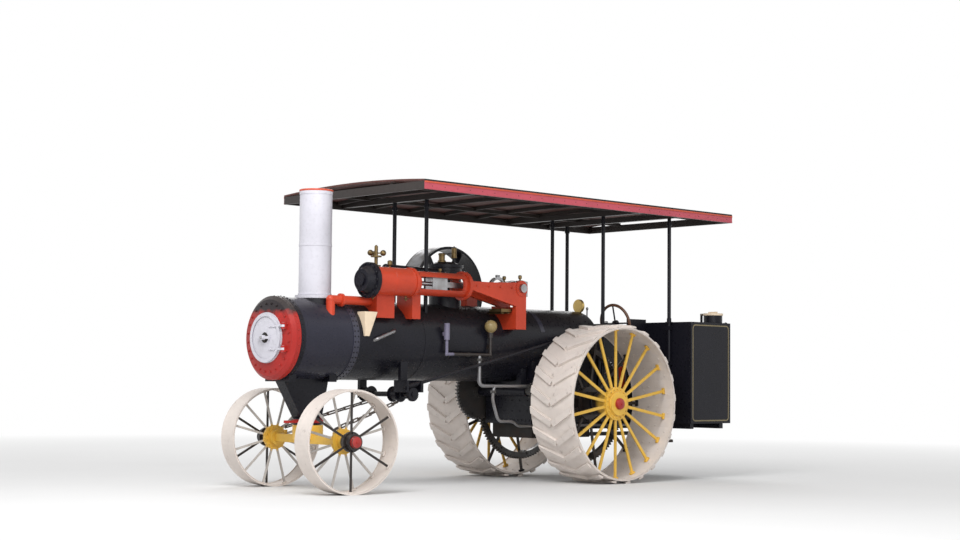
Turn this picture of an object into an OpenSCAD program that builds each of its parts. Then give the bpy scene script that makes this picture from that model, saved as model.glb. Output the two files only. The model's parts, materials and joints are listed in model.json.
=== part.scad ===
// Farm steam traction engine, nose towards +X, left side towards +Y, standing on Z = 0.
// Lengths along the engine are first written from the rear axle, then moved by placed() so that
// the origin lies on the ground under the middle of the whole machine.

/* [Boiler] */
// Radius of the barrel, the smokebox and the firebox crown
boiler_r = 400; // [380:5:410]
// Height of the barrel's centre line above the ground
boiler_z = 1477; // [1460:1:1520]
// Smokebox front face, forward of the rear axle
smokebox_front = 3800; // [3720:10:3900]
// Depth of the hollow smokebox
smokebox_depth = 760; // [600:10:820]
// Thickness of the boiler plate
plate_t = 14; // [10:1:18]
// Firebox front sheet, forward of the rear axle
firebox_front = 650; // [630:5:655]
// Backhead behind the rear axle
backhead = 380; // [360:5:400]
// Half width of the firebox side sheets
firebox_half_w = 355; // [330:1:358]
// Height of the firebox bottom above the ground
firebox_bottom = 620; // [600:5:660]
// Inside radius of the smokebox door opening
door_opening_r = 215; // [180:5:230]
// Radius of the smokebox door
door_r = 245; // [235:1:260]
// Outer radius of the stack
stack_r = 165; // [140:1:180]
// Wall of the stack
stack_wall = 8; // [5:1:14]
// Height of the stack's rim above the ground
stack_top = 2955; // [2800:5:3050]
// Front axle, forward of the rear axle
front_axle_x = 3395; // [3370:5:3420]
// Stack, forward of the rear axle
stack_x = 3335; // [3310:5:3360]
// Steam dome, forward of the rear axle
dome_x = 1600; // [1550:10:1650]
// Radius of the steam dome
dome_r = 170; // [150:5:175]
// Top of the steam dome above the ground
dome_top = 2330; // [2250:10:2400]

/* [Rear wheels] */
// Radius over the lug tips
rear_tip_r = 850; // [840:1:860]
// Height of a lug above the rim
lug_h = 30; // [20:1:36]
// Thickness of the rim plate
rim_t = 12; // [8:1:16]
// Width of the rim
rear_w = 610; // [560:5:620]
// Outer face of the rear rim from the centre plane
rear_face_y = 1126; // [1124:1:1140]
// Number of chevron lugs on a rim
lug_n = 24; // [20:2:28]
// Width of a lug bar
lug_w = 66; // [50:1:72]
// Sweep of a lug arm from the axle's direction
lug_sweep = 28; // [22:1:32]
// Spokes in the inner row of a rear wheel, half as many as in the outer row
rear_spoke_n = 9; // [8:1:10]
// Width of a rear spoke
rear_spoke_w = 32; // [24:1:40]
// Radius of the rear hub barrel
rear_hub_r = 125; // [110:1:135]
// Radius of the rear hub's spoke flanges
rear_flange_r = 178; // [165:1:190]
// Radius of the stub axle
stub_r = 55; // [45:1:65]

/* [Front wheels] */
// Radius of a front wheel
front_r = 495; // [480:1:505]
// Width of a front rim
front_w = 254; // [220:1:270]
// Outer face of a front rim from the centre plane
front_face_y = 877; // [860:1:900]
// Spokes in the outer row of a front wheel, half as many as in the inner row
front_spoke_n = 6; // [5:1:8]
// Width of a front spoke
front_spoke_w = 22; // [16:1:28]
// Radius of the front hub barrel
front_hub_r = 78; // [70:1:85]
// Radius of the front hub's inner spoke flange
front_flange_r = 122; // [110:1:130]
// Radius of the front axle's journal
journal_r = 38; // [30:1:45]
// Side of the square front axle beam
axle_beam = 80; // [70:1:100]
// How the parked front axle is turned from straight ahead, less than zero to the right
steer_rest = -8; // [-12:1:12]

/* [Engine] */
// Engine centre line from the centre plane
engine_y = 420; // [415:1:430]
// Height of the engine centre line above the ground
engine_z = 2060; // [2050:1:2070]
// Crankshaft, forward of the rear axle
crank_x = 1020; // [1000:5:1030]
// Crank radius, half of the stroke
crank_r = 127; // [110:1:130]
// Radius of the crankshaft
shaft_r = 45; // [38:1:48]
// Length of the connecting rod between its pins
rod_len = 950; // [940:1:960]
// Radius of the cylinder jacket
cylinder_r = 140; // [130:1:150]
// Rear end of the cylinder, forward of the rear axle
cylinder_back = 2480; // [2470:5:2500]
// Length of the cylinder jacket
cylinder_len = 490; // [470:5:520]
// Outer radius of the crosshead guide
guide_r = 122; // [118:1:126]
// Bore radius of the crosshead guide
guide_bore = 92; // [88:1:94]
// Radius of the flywheel
flywheel_r = 500; // [460:5:520]
// Face width of the flywheel
flywheel_w = 270; // [230:5:290]
// Inner face of the flywheel from the centre plane
flywheel_y = 560; // [550:5:580]

/* [Gearing] */
// Gear module, the pitch diameter of one tooth
gear_m = 12.7; // [12.7:0.1:12.7]
// Teeth of a bull gear
bull_n = 100; // [100:4:100]
// Teeth of a bull pinion
pinion_n = 15; // [15:1:15]
// Teeth of the crankshaft pinion
crank_gear_n = 16; // [16:1:17]
// Teeth of the intermediate gear
idler_n = 60; // [58:2:60]
// Teeth of the differential gear
diff_n = 48; // [48:2:50]
// Face width of the bull gears and pinions
bull_face = 55; // [45:1:58]
// Face width of the crankshaft pinion, idler and differential gears
train_face = 38; // [30:1:40]
// Countershaft, forward of the rear axle
counter_x = 720; // [716:1:724]
// Radius of the half shafts in the countershaft
half_shaft_r = 36; // [30:1:38]

/* [Platform] */
// Height of the deck above the ground
deck_z = 700; // [680:5:720]
// Thickness of the deck planks
deck_t = 40; // [25:1:45]
// Front of the rear tank and bunker behind the rear axle
tank_front = 1120; // [1100:5:1140]
// Rear of the tank and bunker behind the rear axle
tank_back = 1820; // [1780:5:1860]
// Outer side of the tank and bunker from the centre plane
tank_side = 1100; // [1050:5:1120]
// Inner side of the tank and bunker from the centre plane
tank_inner = 300; // [260:5:340]
// Underside of the tank and bunker above the ground
tank_bottom = 627; // [600:1:650]
// Top of the tank and bunker above the ground
tank_top = 1765; // [1700:5:1800]
// Wall of the coal bunker
bunker_wall = 12; // [8:1:16]
// Radius of the hand wheel
hand_wheel_r = 210; // [180:5:220]
// Height of the drawbar's middle above the ground
drawbar_z = 490; // [470:5:520]
// Radius of the drawbar's pin hole
drawbar_pin_r = 20; // [16:1:24]

/* [Canopy] */
// Front edge of the canopy, forward of the rear axle
canopy_front = 2894; // [2850:1:2920]
// Rear edge of the canopy behind the rear axle
canopy_back = 1830; // [1800:5:1850]
// Half width of the canopy
canopy_half_w = 1120; // [1080:5:1120]
// Underside of the canopy's side boards above the ground
canopy_z = 2920; // [2880:5:2950]
// Depth of the boards round the canopy
board_h = 80; // [60:1:100]
// Thickness of the boards round the canopy
board_t = 25; // [18:1:30]
// Rise of the roof in the middle
roof_rise = 45; // [30:5:60]
// Thickness of the roof
roof_t = 18; // [12:1:24]
// Radius of the canopy posts
post_r = 21; // [16:1:25]
// Rear posts from the centre plane
rear_post_y = 800; // [780:5:850]
// Front posts, forward of the rear axle
front_post_x = 2095; // [2080:5:2110]
// Front posts from the centre plane
front_post_y = 252; // [248:1:258]
// Middle posts behind the rear axle
mid_post_x = 430; // [420:5:440]
// Middle posts from the centre plane
mid_post_y = 398; // [385:1:400]

/* [Hidden] */
$fn = 64;
// Clearance between a turning piece and what it passes
run = 5;
// Radial clearance of a shaft in its bearing
fit = 0.5;
// How far a cutting solid runs past the face that it cuts
over = 1;
rim_r = rear_tip_r - lug_h;
lug_gap = 8;
lug_edge = 16;
axle_z = rear_tip_r;
rear_flats = 48;
front_flats = 64;
rear_inner_y = rear_face_y - rear_w;
stub_end = rear_face_y - 150 + 62 - 14 - run;
front_inner_y = front_face_y - front_w;
front_hub_in = -36;
front_hub_out = front_w + 26;
journal_end = front_inner_y + front_hub_out - 10 - run - over;
ring_t = 105;
door_front = smokebox_front + ring_t + 28;
handle_reach = 45;
wheel_front = front_axle_x + (front_face_y - front_w / 2) * sin(abs(steer_rest))
    + front_r * cos(steer_rest) + front_w / 2 * sin(abs(steer_rest));
front_x = max(door_front + handle_reach, wheel_front);
drawbar_back = tank_back + 90;
origin_x = (front_x - drawbar_back) / 2;
boiler_top = boiler_z + boiler_r;
boiler_bottom = boiler_z - boiler_r;
bull_r = gear_m * bull_n / 2;
pinion_r = gear_m * pinion_n / 2;
crank_gear_r = gear_m * crank_gear_n / 2;
idler_r = gear_m * idler_n / 2;
diff_r = gear_m * diff_n / 2;
tooth_add = 0.8 * gear_m;
tooth_ded = gear_m;
bull_back_y = rear_inner_y - 4;
bull_y = bull_back_y - bull_face;
train_y = boiler_r + run;
bearing_end = 355;
counter_z = axle_z + sqrt(pow(bull_r + pinion_r, 2) - pow(counter_x, 2));
counter_angle = atan2(counter_z - axle_z, counter_x);
tube_r = half_shaft_r + 14;
// Idler centre: where the circles round the crankshaft and the countershaft cross, on the nose side
train_gap = norm([crank_x - counter_x, engine_z - counter_z]);
reach_low = diff_r + idler_r;
reach_high = crank_gear_r + idler_r;
train_along = (pow(reach_low, 2) - pow(reach_high, 2) + pow(train_gap, 2)) / (2 * train_gap);
train_off = sqrt(pow(reach_low, 2) - pow(train_along, 2));
train_dir = [crank_x - counter_x, engine_z - counter_z] / train_gap;
idler_x = counter_x + train_dir[0] * train_along + train_dir[1] * train_off;
idler_z = counter_z + train_dir[1] * train_along - train_dir[0] * train_off;
pin_x = crank_x + crank_r;
crosshead_x = pin_x + rod_len;
lever_y = 330;
lever_x = 820;
quadrant_r = 540;
web_gap = 45;
web_t = 30;
web_r = 62;
pin_r = 34;
big_end_r = 58;
rod_half_w = web_gap - run;
arm_in = web_gap + web_t + 20;
arm_t = 50;
guide_back = 1720;
kingpin_r = 45;
pedestal_low = 640;
roller_x = 2450;
roller_z = 940;
roller_r = 60;
chain_y = 230;
chain_pitch = 90;
chain_wire = 11;
chain_w = 40;
link_reach = (chain_w + chain_wire) / 2 * sin(45);
// The links' corners stand aside of the chain's own line, so the chain runs a little closer to the drum
chain_draw = 0.4;
rear_post_x = tank_front - post_r - 2;
rear_post_low = 1250;
eye_x = front_axle_x - 20;
eye_z = front_r + axle_beam / 2 + 40;
eye_y = 480;
rod_y = 470;
wheel_at = [-560, rod_y, 1740];
worm_at = [roller_x, rod_y, roller_z + 90];
rod_dir = (wheel_at - worm_at) / norm(wheel_at - worm_at);
rod_bearing_x = -300;
function rod_height(x) = worm_at[2] + (x - worm_at[0]) * rod_dir[2] / rod_dir[0];
eccentric_r = 84;
eccentric_off = 18;
lid_r = 115;
neck_h = 88;
lid_x = -tank_back + lid_r + 28;
lid_y = tank_side - lid_r - 22;
lid_z = tank_top + neck_h + 0.3;
lid_hinge_y = lid_y - lid_r - 12;
sheet_front = 800;
sheet_top = 1800;
fire_door_w = 380;
fire_door_h = 300;
fire_door_z = 1180;
fire_door_t = 30;
fire_hinge_x = -backhead - fire_door_t + 3;
fire_hinge_y = fire_door_w / 2 + 16;
hinge_r = 12;
board_top = canopy_z + board_h;
deck_half_w = 435;
rail_h = 100;
step_z = 380;
drawbar_w = 120;
drawbar_t = 40;

// Frames

module placed() {
    translate([-origin_x, 0, 0]) children();
}

// Turns +Z into +Y, for what is drawn flat and stands across the engine
module across(x, y, z) {
    translate([x, y, z]) rotate([-90, 0, 0]) children();
}

// Turns +Z into +X, for what lies along the engine
module along(x, y, z) {
    translate([x, y, z]) rotate([0, 90, 0]) children();
}

// A round bar from one point to another
module bar(from, to, r, sides = 24) {
    d = to - from;
    translate(from)
        rotate([0, acos(d[2] / norm(d)), atan2(d[1], d[0])])
            cylinder(h = norm(d), r = r, $fn = sides);
}

module both_sides() {
    children();
    mirror([0, 1, 0]) children();
}

module right_side() {
    mirror([0, 1, 0]) children();
}

// A solid side view: its polygon's x and y become X and Z, and it runs from y to y + t
module side_plate(y, t) {
    translate([0, y + t, 0]) rotate([90, 0, 0]) linear_extrude(t) children();
}

// Gears

// Outline of a spur gear with straight flanks, one tooth centred on +X
function gear_points(n, phase) =
    let (r = gear_m * n / 2, step = 360 / n)
    [for (i = [0:n - 1], c = [[-0.30, -tooth_ded], [-0.13, tooth_add], [0.13, tooth_add], [0.30, -tooth_ded]])
        let (a = phase + step * (i + c[0]), q = r + c[1])
        [q * cos(a), q * sin(a)]];

module spur(n, phase, face) {
    linear_extrude(face) polygon(gear_points(n, phase));
}

// Boiler

module barrel_end(r, x0, x1) {
    along(x0, 0, boiler_z) cylinder(h = x1 - x0, r = r, $fn = 96);
}

module firebox_box(inset, bottom) {
    translate([-backhead + inset, -firebox_half_w + inset, bottom])
        cube([backhead + firebox_front - 2 * inset, 2 * (firebox_half_w - inset), boiler_z - bottom]);
}

module boiler() placed() color([0.05, 0.05, 0.06]) {
    difference() {
        union() {
            barrel_end(boiler_r, -backhead, smokebox_front);
            firebox_box(0, firebox_bottom);
        }
        // Smokebox
        barrel_end(boiler_r - plate_t, smokebox_front - smokebox_depth, smokebox_front + over);
        translate([stack_x, 0, boiler_z]) cylinder(h = 2 * boiler_r, r = stack_r - stack_wall);
        // Firebox, open below over the ash pan
        firebox_box(90, firebox_bottom - over);
        translate([-backhead - over, -fire_door_w / 2 + 30, fire_door_z + 30])
            cube([90 + 2 * over, fire_door_w - 60, fire_door_h - 60]);
    }
    // Hinge lugs of the fire door
    for (z = [fire_door_z - 25 - 22, fire_door_z + fire_door_h + 25])
        difference() {
            translate([fire_hinge_x - 18, fire_hinge_y - 18, z]) cube([-backhead - fire_hinge_x + 18, 36, 22]);
            translate([fire_hinge_x, fire_hinge_y, z - over]) cylinder(h = 22 + 2 * over, r = 7 + fit);
        }
}

module smokebox_ring() placed() color([0.72, 0.12, 0.07]) {
    translate([smokebox_front, 0, boiler_z]) rotate([0, 90, 0]) rotate_extrude($fn = 96)
        polygon([
            [door_opening_r, 60], [boiler_r - plate_t - 2, 0], [boiler_r + 6, 0],
            [boiler_r + 6, 55], [boiler_r - 30, ring_t - 20], [door_r + 12, ring_t], [door_opening_r, ring_t]
        ]);
    // Hinge forks on the left
    translate([smokebox_front + ring_t + 20, door_r + 36, boiler_z])
        for (z = [-110, 110])
            translate([0, 0, z - 30]) difference() {
                union() {
                    cylinder(h = 60, r = 20);
                    translate([-50, -20, 0]) cube([50, 40, 60]);
                }
                translate([-22, -50, 17]) cube([100, 100, 26]);
                translate([0, 0, -over]) cylinder(h = 60 + 2 * over, r = hinge_r);
            }
}

module smokebox_door() placed() color([0.82, 0.83, 0.85]) {
    translate([smokebox_front + ring_t + 1, 0, boiler_z]) rotate([0, 90, 0]) rotate_extrude($fn = 96)
        polygon([[0, 0], [door_r, 0], [door_r, 12], [door_r - 25, 18], [0, 27]]);
    // Centre boss and latch handle
    along(smokebox_front + ring_t + 20, 0, boiler_z) cylinder(h = handle_reach + 8, r = 24);
    translate([door_front + handle_reach - 28, -95, boiler_z - 13]) cube([14, 190, 26]);
    // Hinge straps with their eyes on the pins
    for (z = [-110, 110]) {
        translate([smokebox_front + ring_t + 14, 60, boiler_z + z - 11.5]) cube([16, door_r - 40, 23]);
        translate([smokebox_front + ring_t + 20, door_r + 36, boiler_z + z - 11.5])
            cylinder(h = 23, r = 19);
    }
    translate([smokebox_front + ring_t + 20, door_r + 36, boiler_z])
        for (z = [-142, 78]) translate([0, 0, z]) cylinder(h = 64, r = hinge_r - fit);
}

module stack() placed() color([0.88, 0.88, 0.9]) {
    difference() {
        union() {
            translate([stack_x, 0, boiler_top + 30]) cylinder(h = stack_top - boiler_top - 30, r = stack_r - 4);
            translate([stack_x, 0, stack_top - 50]) cylinder(h = 50, r = stack_r);
        }
        translate([stack_x, 0, boiler_top]) cylinder(h = stack_top, r = stack_r - stack_wall - 4);
    }
}

module stack_base() placed() color([0.06, 0.06, 0.07]) {
    difference() {
        union() {
            translate([stack_x, 0, boiler_top - 70]) cylinder(h = 100, r = stack_r + 30);
            translate([stack_x, 0, boiler_top - 90]) cylinder(h = 70, r = stack_r + 70);
        }
        barrel_end(boiler_r, 0, smokebox_front);
        translate([stack_x, 0, boiler_z]) cylinder(h = 2 * boiler_r, r = stack_r - stack_wall);
    }
}

module steam_dome() placed() color([0.07, 0.07, 0.08]) {
    difference() {
        union() {
            translate([dome_x, 0, boiler_top - 90]) cylinder(h = dome_top - boiler_top + 50, r = dome_r);
            translate([dome_x, 0, dome_top - 60]) cylinder(h = 30, r = dome_r + 22);
            translate([dome_x, 0, dome_top - 30]) cylinder(h = 30, r1 = dome_r, r2 = dome_r - 70);
        }
        barrel_end(boiler_r, 0, smokebox_front);
    }
    // Safety valve and whistle
    translate([dome_x + 50, 0, dome_top]) cylinder(h = 95, r = 30);
    translate([dome_x - 70, 60, dome_top - 4]) cylinder(h = 60, r = 12);
    translate([dome_x - 70, 60, dome_top + 50]) cylinder(h = 110, r = 26);
}

module ash_pan() placed() color([0.08, 0.07, 0.07]) {
    translate([-backhead + 60, -firebox_half_w + 50, firebox_bottom - 150])
        cube([backhead + firebox_front - 120, 2 * (firebox_half_w - 50), 150]);
}

module fire_door() placed() color([0.1, 0.1, 0.11]) {
    x = -backhead - fire_door_t - 2;
    translate([x, -fire_door_w / 2, fire_door_z]) cube([fire_door_t, fire_door_w, fire_door_h]);
    translate([fire_hinge_x, fire_hinge_y, fire_door_z - 24.7]) cylinder(h = fire_door_h + 49.4, r = hinge_r);
    translate([fire_hinge_x, fire_hinge_y, fire_door_z - 45]) cylinder(h = fire_door_h + 90, r = 7);
    for (z = [50, fire_door_h - 90])
        translate([x - 5, fire_door_w / 2 - 60, fire_door_z + z]) cube([8, fire_hinge_y + 66 - fire_door_w / 2, 40]);
    translate([x - 40, -fire_door_w / 2 + 30, fire_door_z + fire_door_h / 2 - 12]) cube([42, 24, 24]);
}

// Rear wheels and their drive

module stub_axles() placed() color([0.72, 0.12, 0.07]) both_sides() {
    difference() {
        side_plate(firebox_half_w, 42)
            polygon([[-240, axle_z + 170], [-150, firebox_bottom + 20], [150, firebox_bottom + 20],
                     [260, axle_z + 170], [150, axle_z + 260], [-150, axle_z + 260]]);
    }
    across(0, firebox_half_w + 42, axle_z) cylinder(h = stub_end - firebox_half_w - 42, r = stub_r);
    across(0, firebox_half_w + 42, axle_z) cylinder(h = 22, r = stub_r + 45);
}

// The left wheel's own frame: +Z of the drawing points outwards, from the rim's inner face
module rear_wheel_frame() {
    placed() across(0, rear_inner_y, axle_z) children();
}

// One arm of a chevron, from near the rim's middle towards one of its edges
module lug_arm(a, hand) {
    rotate([0, 0, a])
        translate([rim_r - rim_t / 2, 0, rear_w / 2])
            rotate([hand * lug_sweep, 0, 0])
                translate([0, -lug_w / 2, hand > 0 ? lug_gap : -rear_w])
                    cube([lug_h + rim_t, lug_w, rear_w - lug_gap]);
}

// A round of flats that touch a circle of radius r, one of them at the bottom of the wheel
module flats(r, n) {
    polygon([for (i = [0:n - 1]) let (a = (i + 0.5) * 360 / n) r / cos(180 / n) * [cos(a), sin(a)]]);
}

module rear_rim() color([0.82, 0.78, 0.74]) {
    difference() {
        union() {
            linear_extrude(rear_w) flats(rim_r, rear_flats);
            intersection() {
                for (i = [0:lug_n - 1], hand = [-1, 1])
                    lug_arm(i * 360 / lug_n, hand);
                translate([0, 0, lug_edge]) linear_extrude(rear_w - 2 * lug_edge) flats(rear_tip_r, rear_flats);
            }
        }
        translate([0, 0, -over]) linear_extrude(rear_w + 2 * over) flats(rim_r - rim_t, rear_flats);
    }
}

module spoke_row(n, z, w, t, phase, r_out) {
    for (i = [0:n - 1])
        rotate([0, 0, phase + i * 360 / n])
            translate([0, -w / 2, z]) cube([r_out, w, t]);
}

module rear_spider() color([0.93, 0.7, 0.12]) {
    outer = rear_w - 150;
    inner = 60;
    hub_out = outer + 62;
    difference() {
        union() {
            translate([0, 0, -50]) cylinder(h = hub_out + 50, r = rear_hub_r);
            for (z = [inner - 18, outer - 18]) translate([0, 0, z]) cylinder(h = 50, r = rear_flange_r);
            intersection() {
                union() {
                    spoke_row(2 * rear_spoke_n, outer, rear_spoke_w, 14, 90 / rear_spoke_n, rim_r);
                    spoke_row(rear_spoke_n, inner, rear_spoke_w, 14, 180 / rear_spoke_n, rim_r);
                }
                linear_extrude(rear_w) flats(rim_r - rim_t, rear_flats);
            }
        }
        translate([0, 0, -50 - over]) cylinder(h = hub_out + 50 - 14, r = stub_r + fit);
    }
    // Cap over the axle's end
    translate([0, 0, hub_out]) cylinder(h = 22, r = stub_r);
}

module bull_gear() color([0.2, 0.19, 0.19]) {
    placed() across(0, bull_y, axle_z) {
        difference() {
            spur(bull_n, counter_phase(), bull_face);
            translate([0, 0, -over]) cylinder(h = bull_face + 2 * over, r = bull_r - 65, $fn = 96);
        }
        // Brackets to the wheel's inner spokes
        for (i = [0:rear_spoke_n - 1])
            rotate([0, 0, 180 / rear_spoke_n + i * 360 / rear_spoke_n])
                translate([bull_r - 75, -20, bull_face - 20]) cube([50, 40, 20 + 64]);
    }
}

// A drawing that across() stands up has its angles turned the other way, so the mesh's line is at -counter_angle
function counter_phase() = -counter_angle;
function mate_phase(angle, n) = angle + 180 + 180 / n;

module pinion_body() color([0.2, 0.19, 0.19]) {
    placed() across(counter_x, 0, counter_z) {
        translate([0, 0, bull_y]) spur(pinion_n, mate_phase(counter_phase(), pinion_n), bull_face);
        translate([0, 0, 180]) cylinder(h = bull_y - 180, r = half_shaft_r);
    }
}

module countershaft_tube() placed() color([0.06, 0.06, 0.07]) {
    difference() {
        union() {
            across(counter_x, -firebox_half_w - 5, counter_z) cylinder(h = 2 * (firebox_half_w + 5), r = tube_r);
            both_sides() translate([counter_x - 40, 240, counter_z]) cube([80, 60, 400]);
        }
        across(counter_x, -firebox_half_w - 5 - over, counter_z)
            cylinder(h = 2 * (firebox_half_w + 5 + over), r = half_shaft_r + fit);
        barrel_end(boiler_r, 0, smokebox_front);
    }
}

module gear_train() placed() color([0.2, 0.19, 0.19]) right_side() {
    // Differential gear round the right half shaft
    low_angle = -atan2(idler_z - counter_z, idler_x - counter_x);
    across(counter_x, firebox_half_w + 5, counter_z) difference() {
        union() {
            translate([0, 0, train_y - firebox_half_w - 5]) spur(diff_n, low_angle, train_face);
            cylinder(h = train_y - firebox_half_w - 5, r = tube_r + 20);
        }
        translate([0, 0, -over]) cylinder(h = train_face + train_y, r = half_shaft_r + fit);
    }
    // Idler on its stud
    high_angle = -atan2(engine_z - idler_z, crank_x - idler_x);
    across(idler_x, train_y, idler_z) {
        difference() {
            spur(idler_n, mate_phase(low_angle, idler_n), train_face);
            translate([0, 0, -over]) difference() {
                cylinder(h = train_face + 2 * over, r = idler_r - 60);
                translate([0, 0, -over]) cylinder(h = train_face + 4 * over, r = 75);
                for (a = [0:60:150]) rotate([0, 0, a]) translate([-idler_r, -22, 0])
                    cube([2 * idler_r, 44, train_face + 2 * over]);
            }
        }
        translate([0, 0, train_face]) cylinder(h = 30, r = 45);
    }
    difference() {
        across(idler_x, 200, idler_z) cylinder(h = train_y - 200, r = 45);
        barrel_end(boiler_r, 0, smokebox_front);
    }
    // Pinion, loose on the crankshaft until the clutch takes it
    across(crank_x, bearing_end, engine_z) difference() {
        union() {
            translate([0, 0, train_y - bearing_end]) spur(crank_gear_n, idler_mate(high_angle), train_face);
            cylinder(h = train_y - bearing_end, r = shaft_r + 25);
        }
        translate([0, 0, -over]) cylinder(h = train_face + train_y, r = shaft_r + fit);
    }
}

// The idler's own teeth were set by the lower mesh, so the pinion takes its phase from where they are
function idler_mate(angle) =
    let (low = -atan2(idler_z - counter_z, idler_x - counter_x),
         offset = (angle - mate_phase(low, idler_n)) * idler_n / 360)
    angle + 180 + 180 / crank_gear_n + (offset - floor(offset)) * 360 / crank_gear_n;

// Front axle and wheels

module front_pedestal() placed() color([0.72, 0.12, 0.07]) {
    difference() {
        union() {
            side_plate(-70, 140)
                polygon([[front_axle_x - 110, pedestal_low + 20], [front_axle_x + 110, pedestal_low + 20],
                         [smokebox_front - 20, boiler_bottom + 40], [front_axle_x - 200, boiler_bottom + 40]]);
            for (x = [front_axle_x - 200, smokebox_front - 110])
                translate([x, -190, boiler_bottom - 20]) cube([90, 380, 160]);
            translate([front_axle_x, 0, pedestal_low]) cylinder(h = 60, r = 150);
        }
        barrel_end(boiler_r, 0, smokebox_front);
    }
    translate([front_axle_x, 0, pedestal_low - 60]) cylinder(h = 60, r = kingpin_r);
}

module front_axle() placed() steered() color([0.93, 0.7, 0.12]) {
    half = front_inner_y - 42;
    difference() {
        union() {
            translate([front_axle_x - axle_beam / 2, -half, front_r - axle_beam / 2])
                cube([axle_beam, 2 * half, axle_beam]);
            translate([front_axle_x, 0, front_r]) cylinder(h = pedestal_low - front_r - run, r = 150);
            for (hand = [-1, 1])
                translate([eye_x, hand * eye_y, front_r]) cylinder(h = eye_z - front_r, r = 18);
        }
        translate([front_axle_x, 0, pedestal_low - 60 - run])
            cylinder(h = 100, r = kingpin_r + fit);
    }
    both_sides() across(front_axle_x, half, front_r) cylinder(h = journal_end - half, r = journal_r);
}

// Turns what steers from straight ahead to where it stands parked
module steered() {
    translate([front_axle_x, 0, 0]) rotate([0, 0, steer_rest]) translate([-front_axle_x, 0, 0]) children();
}

module sided(hand) {
    if (hand > 0) children();
    else mirror([0, 1, 0]) children();
}

// A front wheel's own frame: +Z of the drawing points outwards, from the rim's inner face
module front_wheel_frame(hand) {
    placed() steered() sided(hand) across(front_axle_x, front_inner_y, front_r) children();
}

module front_rim() color([0.82, 0.78, 0.74]) {
    linear_extrude(front_w) difference() {
        flats(front_r, front_flats);
        flats(front_r - rim_t, front_flats);
    }
}

module front_spider() color([0.93, 0.7, 0.12]) {
    inner = 45;
    outer = front_w - 55;
    difference() {
        union() {
            translate([0, 0, front_hub_in]) cylinder(h = front_hub_out - front_hub_in, r = front_hub_r);
            translate([0, 0, inner - 12]) cylinder(h = 34, r = front_flange_r);
            translate([0, 0, outer - 12]) cylinder(h = 34, r = front_hub_r + 20);
            intersection() {
                union() {
                    spoke_row(front_spoke_n, outer, front_spoke_w, 10, 180 / front_spoke_n, front_r);
                    spoke_row(2 * front_spoke_n, inner, front_spoke_w, 10, 90 / front_spoke_n, front_r);
                }
                linear_extrude(front_w) flats(front_r - rim_t, front_flats);
            }
        }
        translate([0, 0, front_hub_in - over])
            cylinder(h = front_hub_out - front_hub_in - 10, r = journal_r + fit);
    }
    translate([0, 0, front_hub_out]) cylinder(h = 28, r = 56);
}

// Engine on the left shoulder of the boiler

module frame_arm(y) {
    side_plate(engine_y + y, arm_t)
        polygon([[guide_back + 20, engine_z - 45], [crank_x + 80, engine_z - 190], [crank_x - 70, engine_z - 190],
                 [crank_x - 70, engine_z + 60], [crank_x + 70, engine_z + 60], [crank_x + 420, engine_z + 45],
                 [guide_back + 20, engine_z + 45]]);
}

module engine_frame() placed() color([0.74, 0.17, 0.08]) {
    difference() {
        union() {
            along(guide_back, engine_y, engine_z) cylinder(h = cylinder_back - guide_back, r = guide_r);
            along(cylinder_back - 35, engine_y, engine_z) cylinder(h = 35, r = cylinder_r + 12);
            along(guide_back, engine_y, engine_z) cylinder(h = 40, r = arm_in + arm_t + 4);
            frame_arm(arm_in);
            frame_arm(-arm_in - arm_t);
            // Bearing caps
            for (y = [arm_in, -arm_in - arm_t])
                across(crank_x, engine_y + y - 8, engine_z) cylinder(h = arm_t + 16, r = shaft_r + 38);
            // Feet on the boiler's shoulder
            translate([crank_x - 70, 190, boiler_z + 150]) cube([150, engine_y + arm_in + arm_t - 190, 250]);
            translate([cylinder_back - 160, 190, boiler_z + 220]) cube([110, 240, 300]);
        }
        along(guide_back - over, engine_y, engine_z) cylinder(h = cylinder_back - guide_back + 2 * over, r = guide_bore);
        // Windows in the guide
        translate([guide_back + 90, engine_y - guide_r - over, engine_z - 62])
            cube([cylinder_back - guide_back - 170, 2 * (guide_r + over), 124]);
        across(crank_x, engine_y - 300, engine_z) cylinder(h = 600, r = shaft_r + fit);
        // Room for the turning webs
        across(crank_x, engine_y - arm_in, engine_z) cylinder(h = 2 * arm_in, r = crank_r + web_r + 25);
        barrel_end(boiler_r, 0, smokebox_front);
    }
}

module cylinder_body() {
    along(cylinder_back, engine_y, engine_z) cylinder(h = cylinder_len, r = cylinder_r);
}

module steam_cylinder() placed() color([0.78, 0.2, 0.09]) {
    difference() {
        union() {
            cylinder_body();
            // Steam chest on the inner side
            translate([cylinder_back + 90, engine_y - cylinder_r - 130, engine_z - 90])
                cube([cylinder_len - 180, 160, 180]);
            // Saddle on the boiler's shoulder
            translate([cylinder_back + 160, 200, boiler_z + 220]) cube([cylinder_len - 260, 200, 300]);
        }
        barrel_end(boiler_r, 0, smokebox_front);
        along(cylinder_back - over, engine_y, engine_z) cylinder(h = 60, r = 22 + fit);
    }
}

module flank_bracket() placed() color([0.85, 0.72, 0.6]) {
    difference() {
        side_plate(boiler_r - 90, 110)
            polygon([[cylinder_back + 395, boiler_z + 275], [cylinder_back + 560, boiler_z + 275],
                     [cylinder_back + 550, boiler_z + 33], [cylinder_back + 495, boiler_z + 33]]);
        barrel_end(boiler_r, 0, smokebox_front);
    }
}

module cylinder_head() placed() color([0.1, 0.1, 0.12]) {
    x = cylinder_back + cylinder_len;
    along(x, engine_y, engine_z) cylinder(h = 45, r = cylinder_r + 38);
    along(x + 45, engine_y, engine_z) cylinder(h = 75, r1 = cylinder_r, r2 = cylinder_r - 30);
    along(x + 120, engine_y, engine_z) cylinder(h = 20, r = 60);
}

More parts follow.
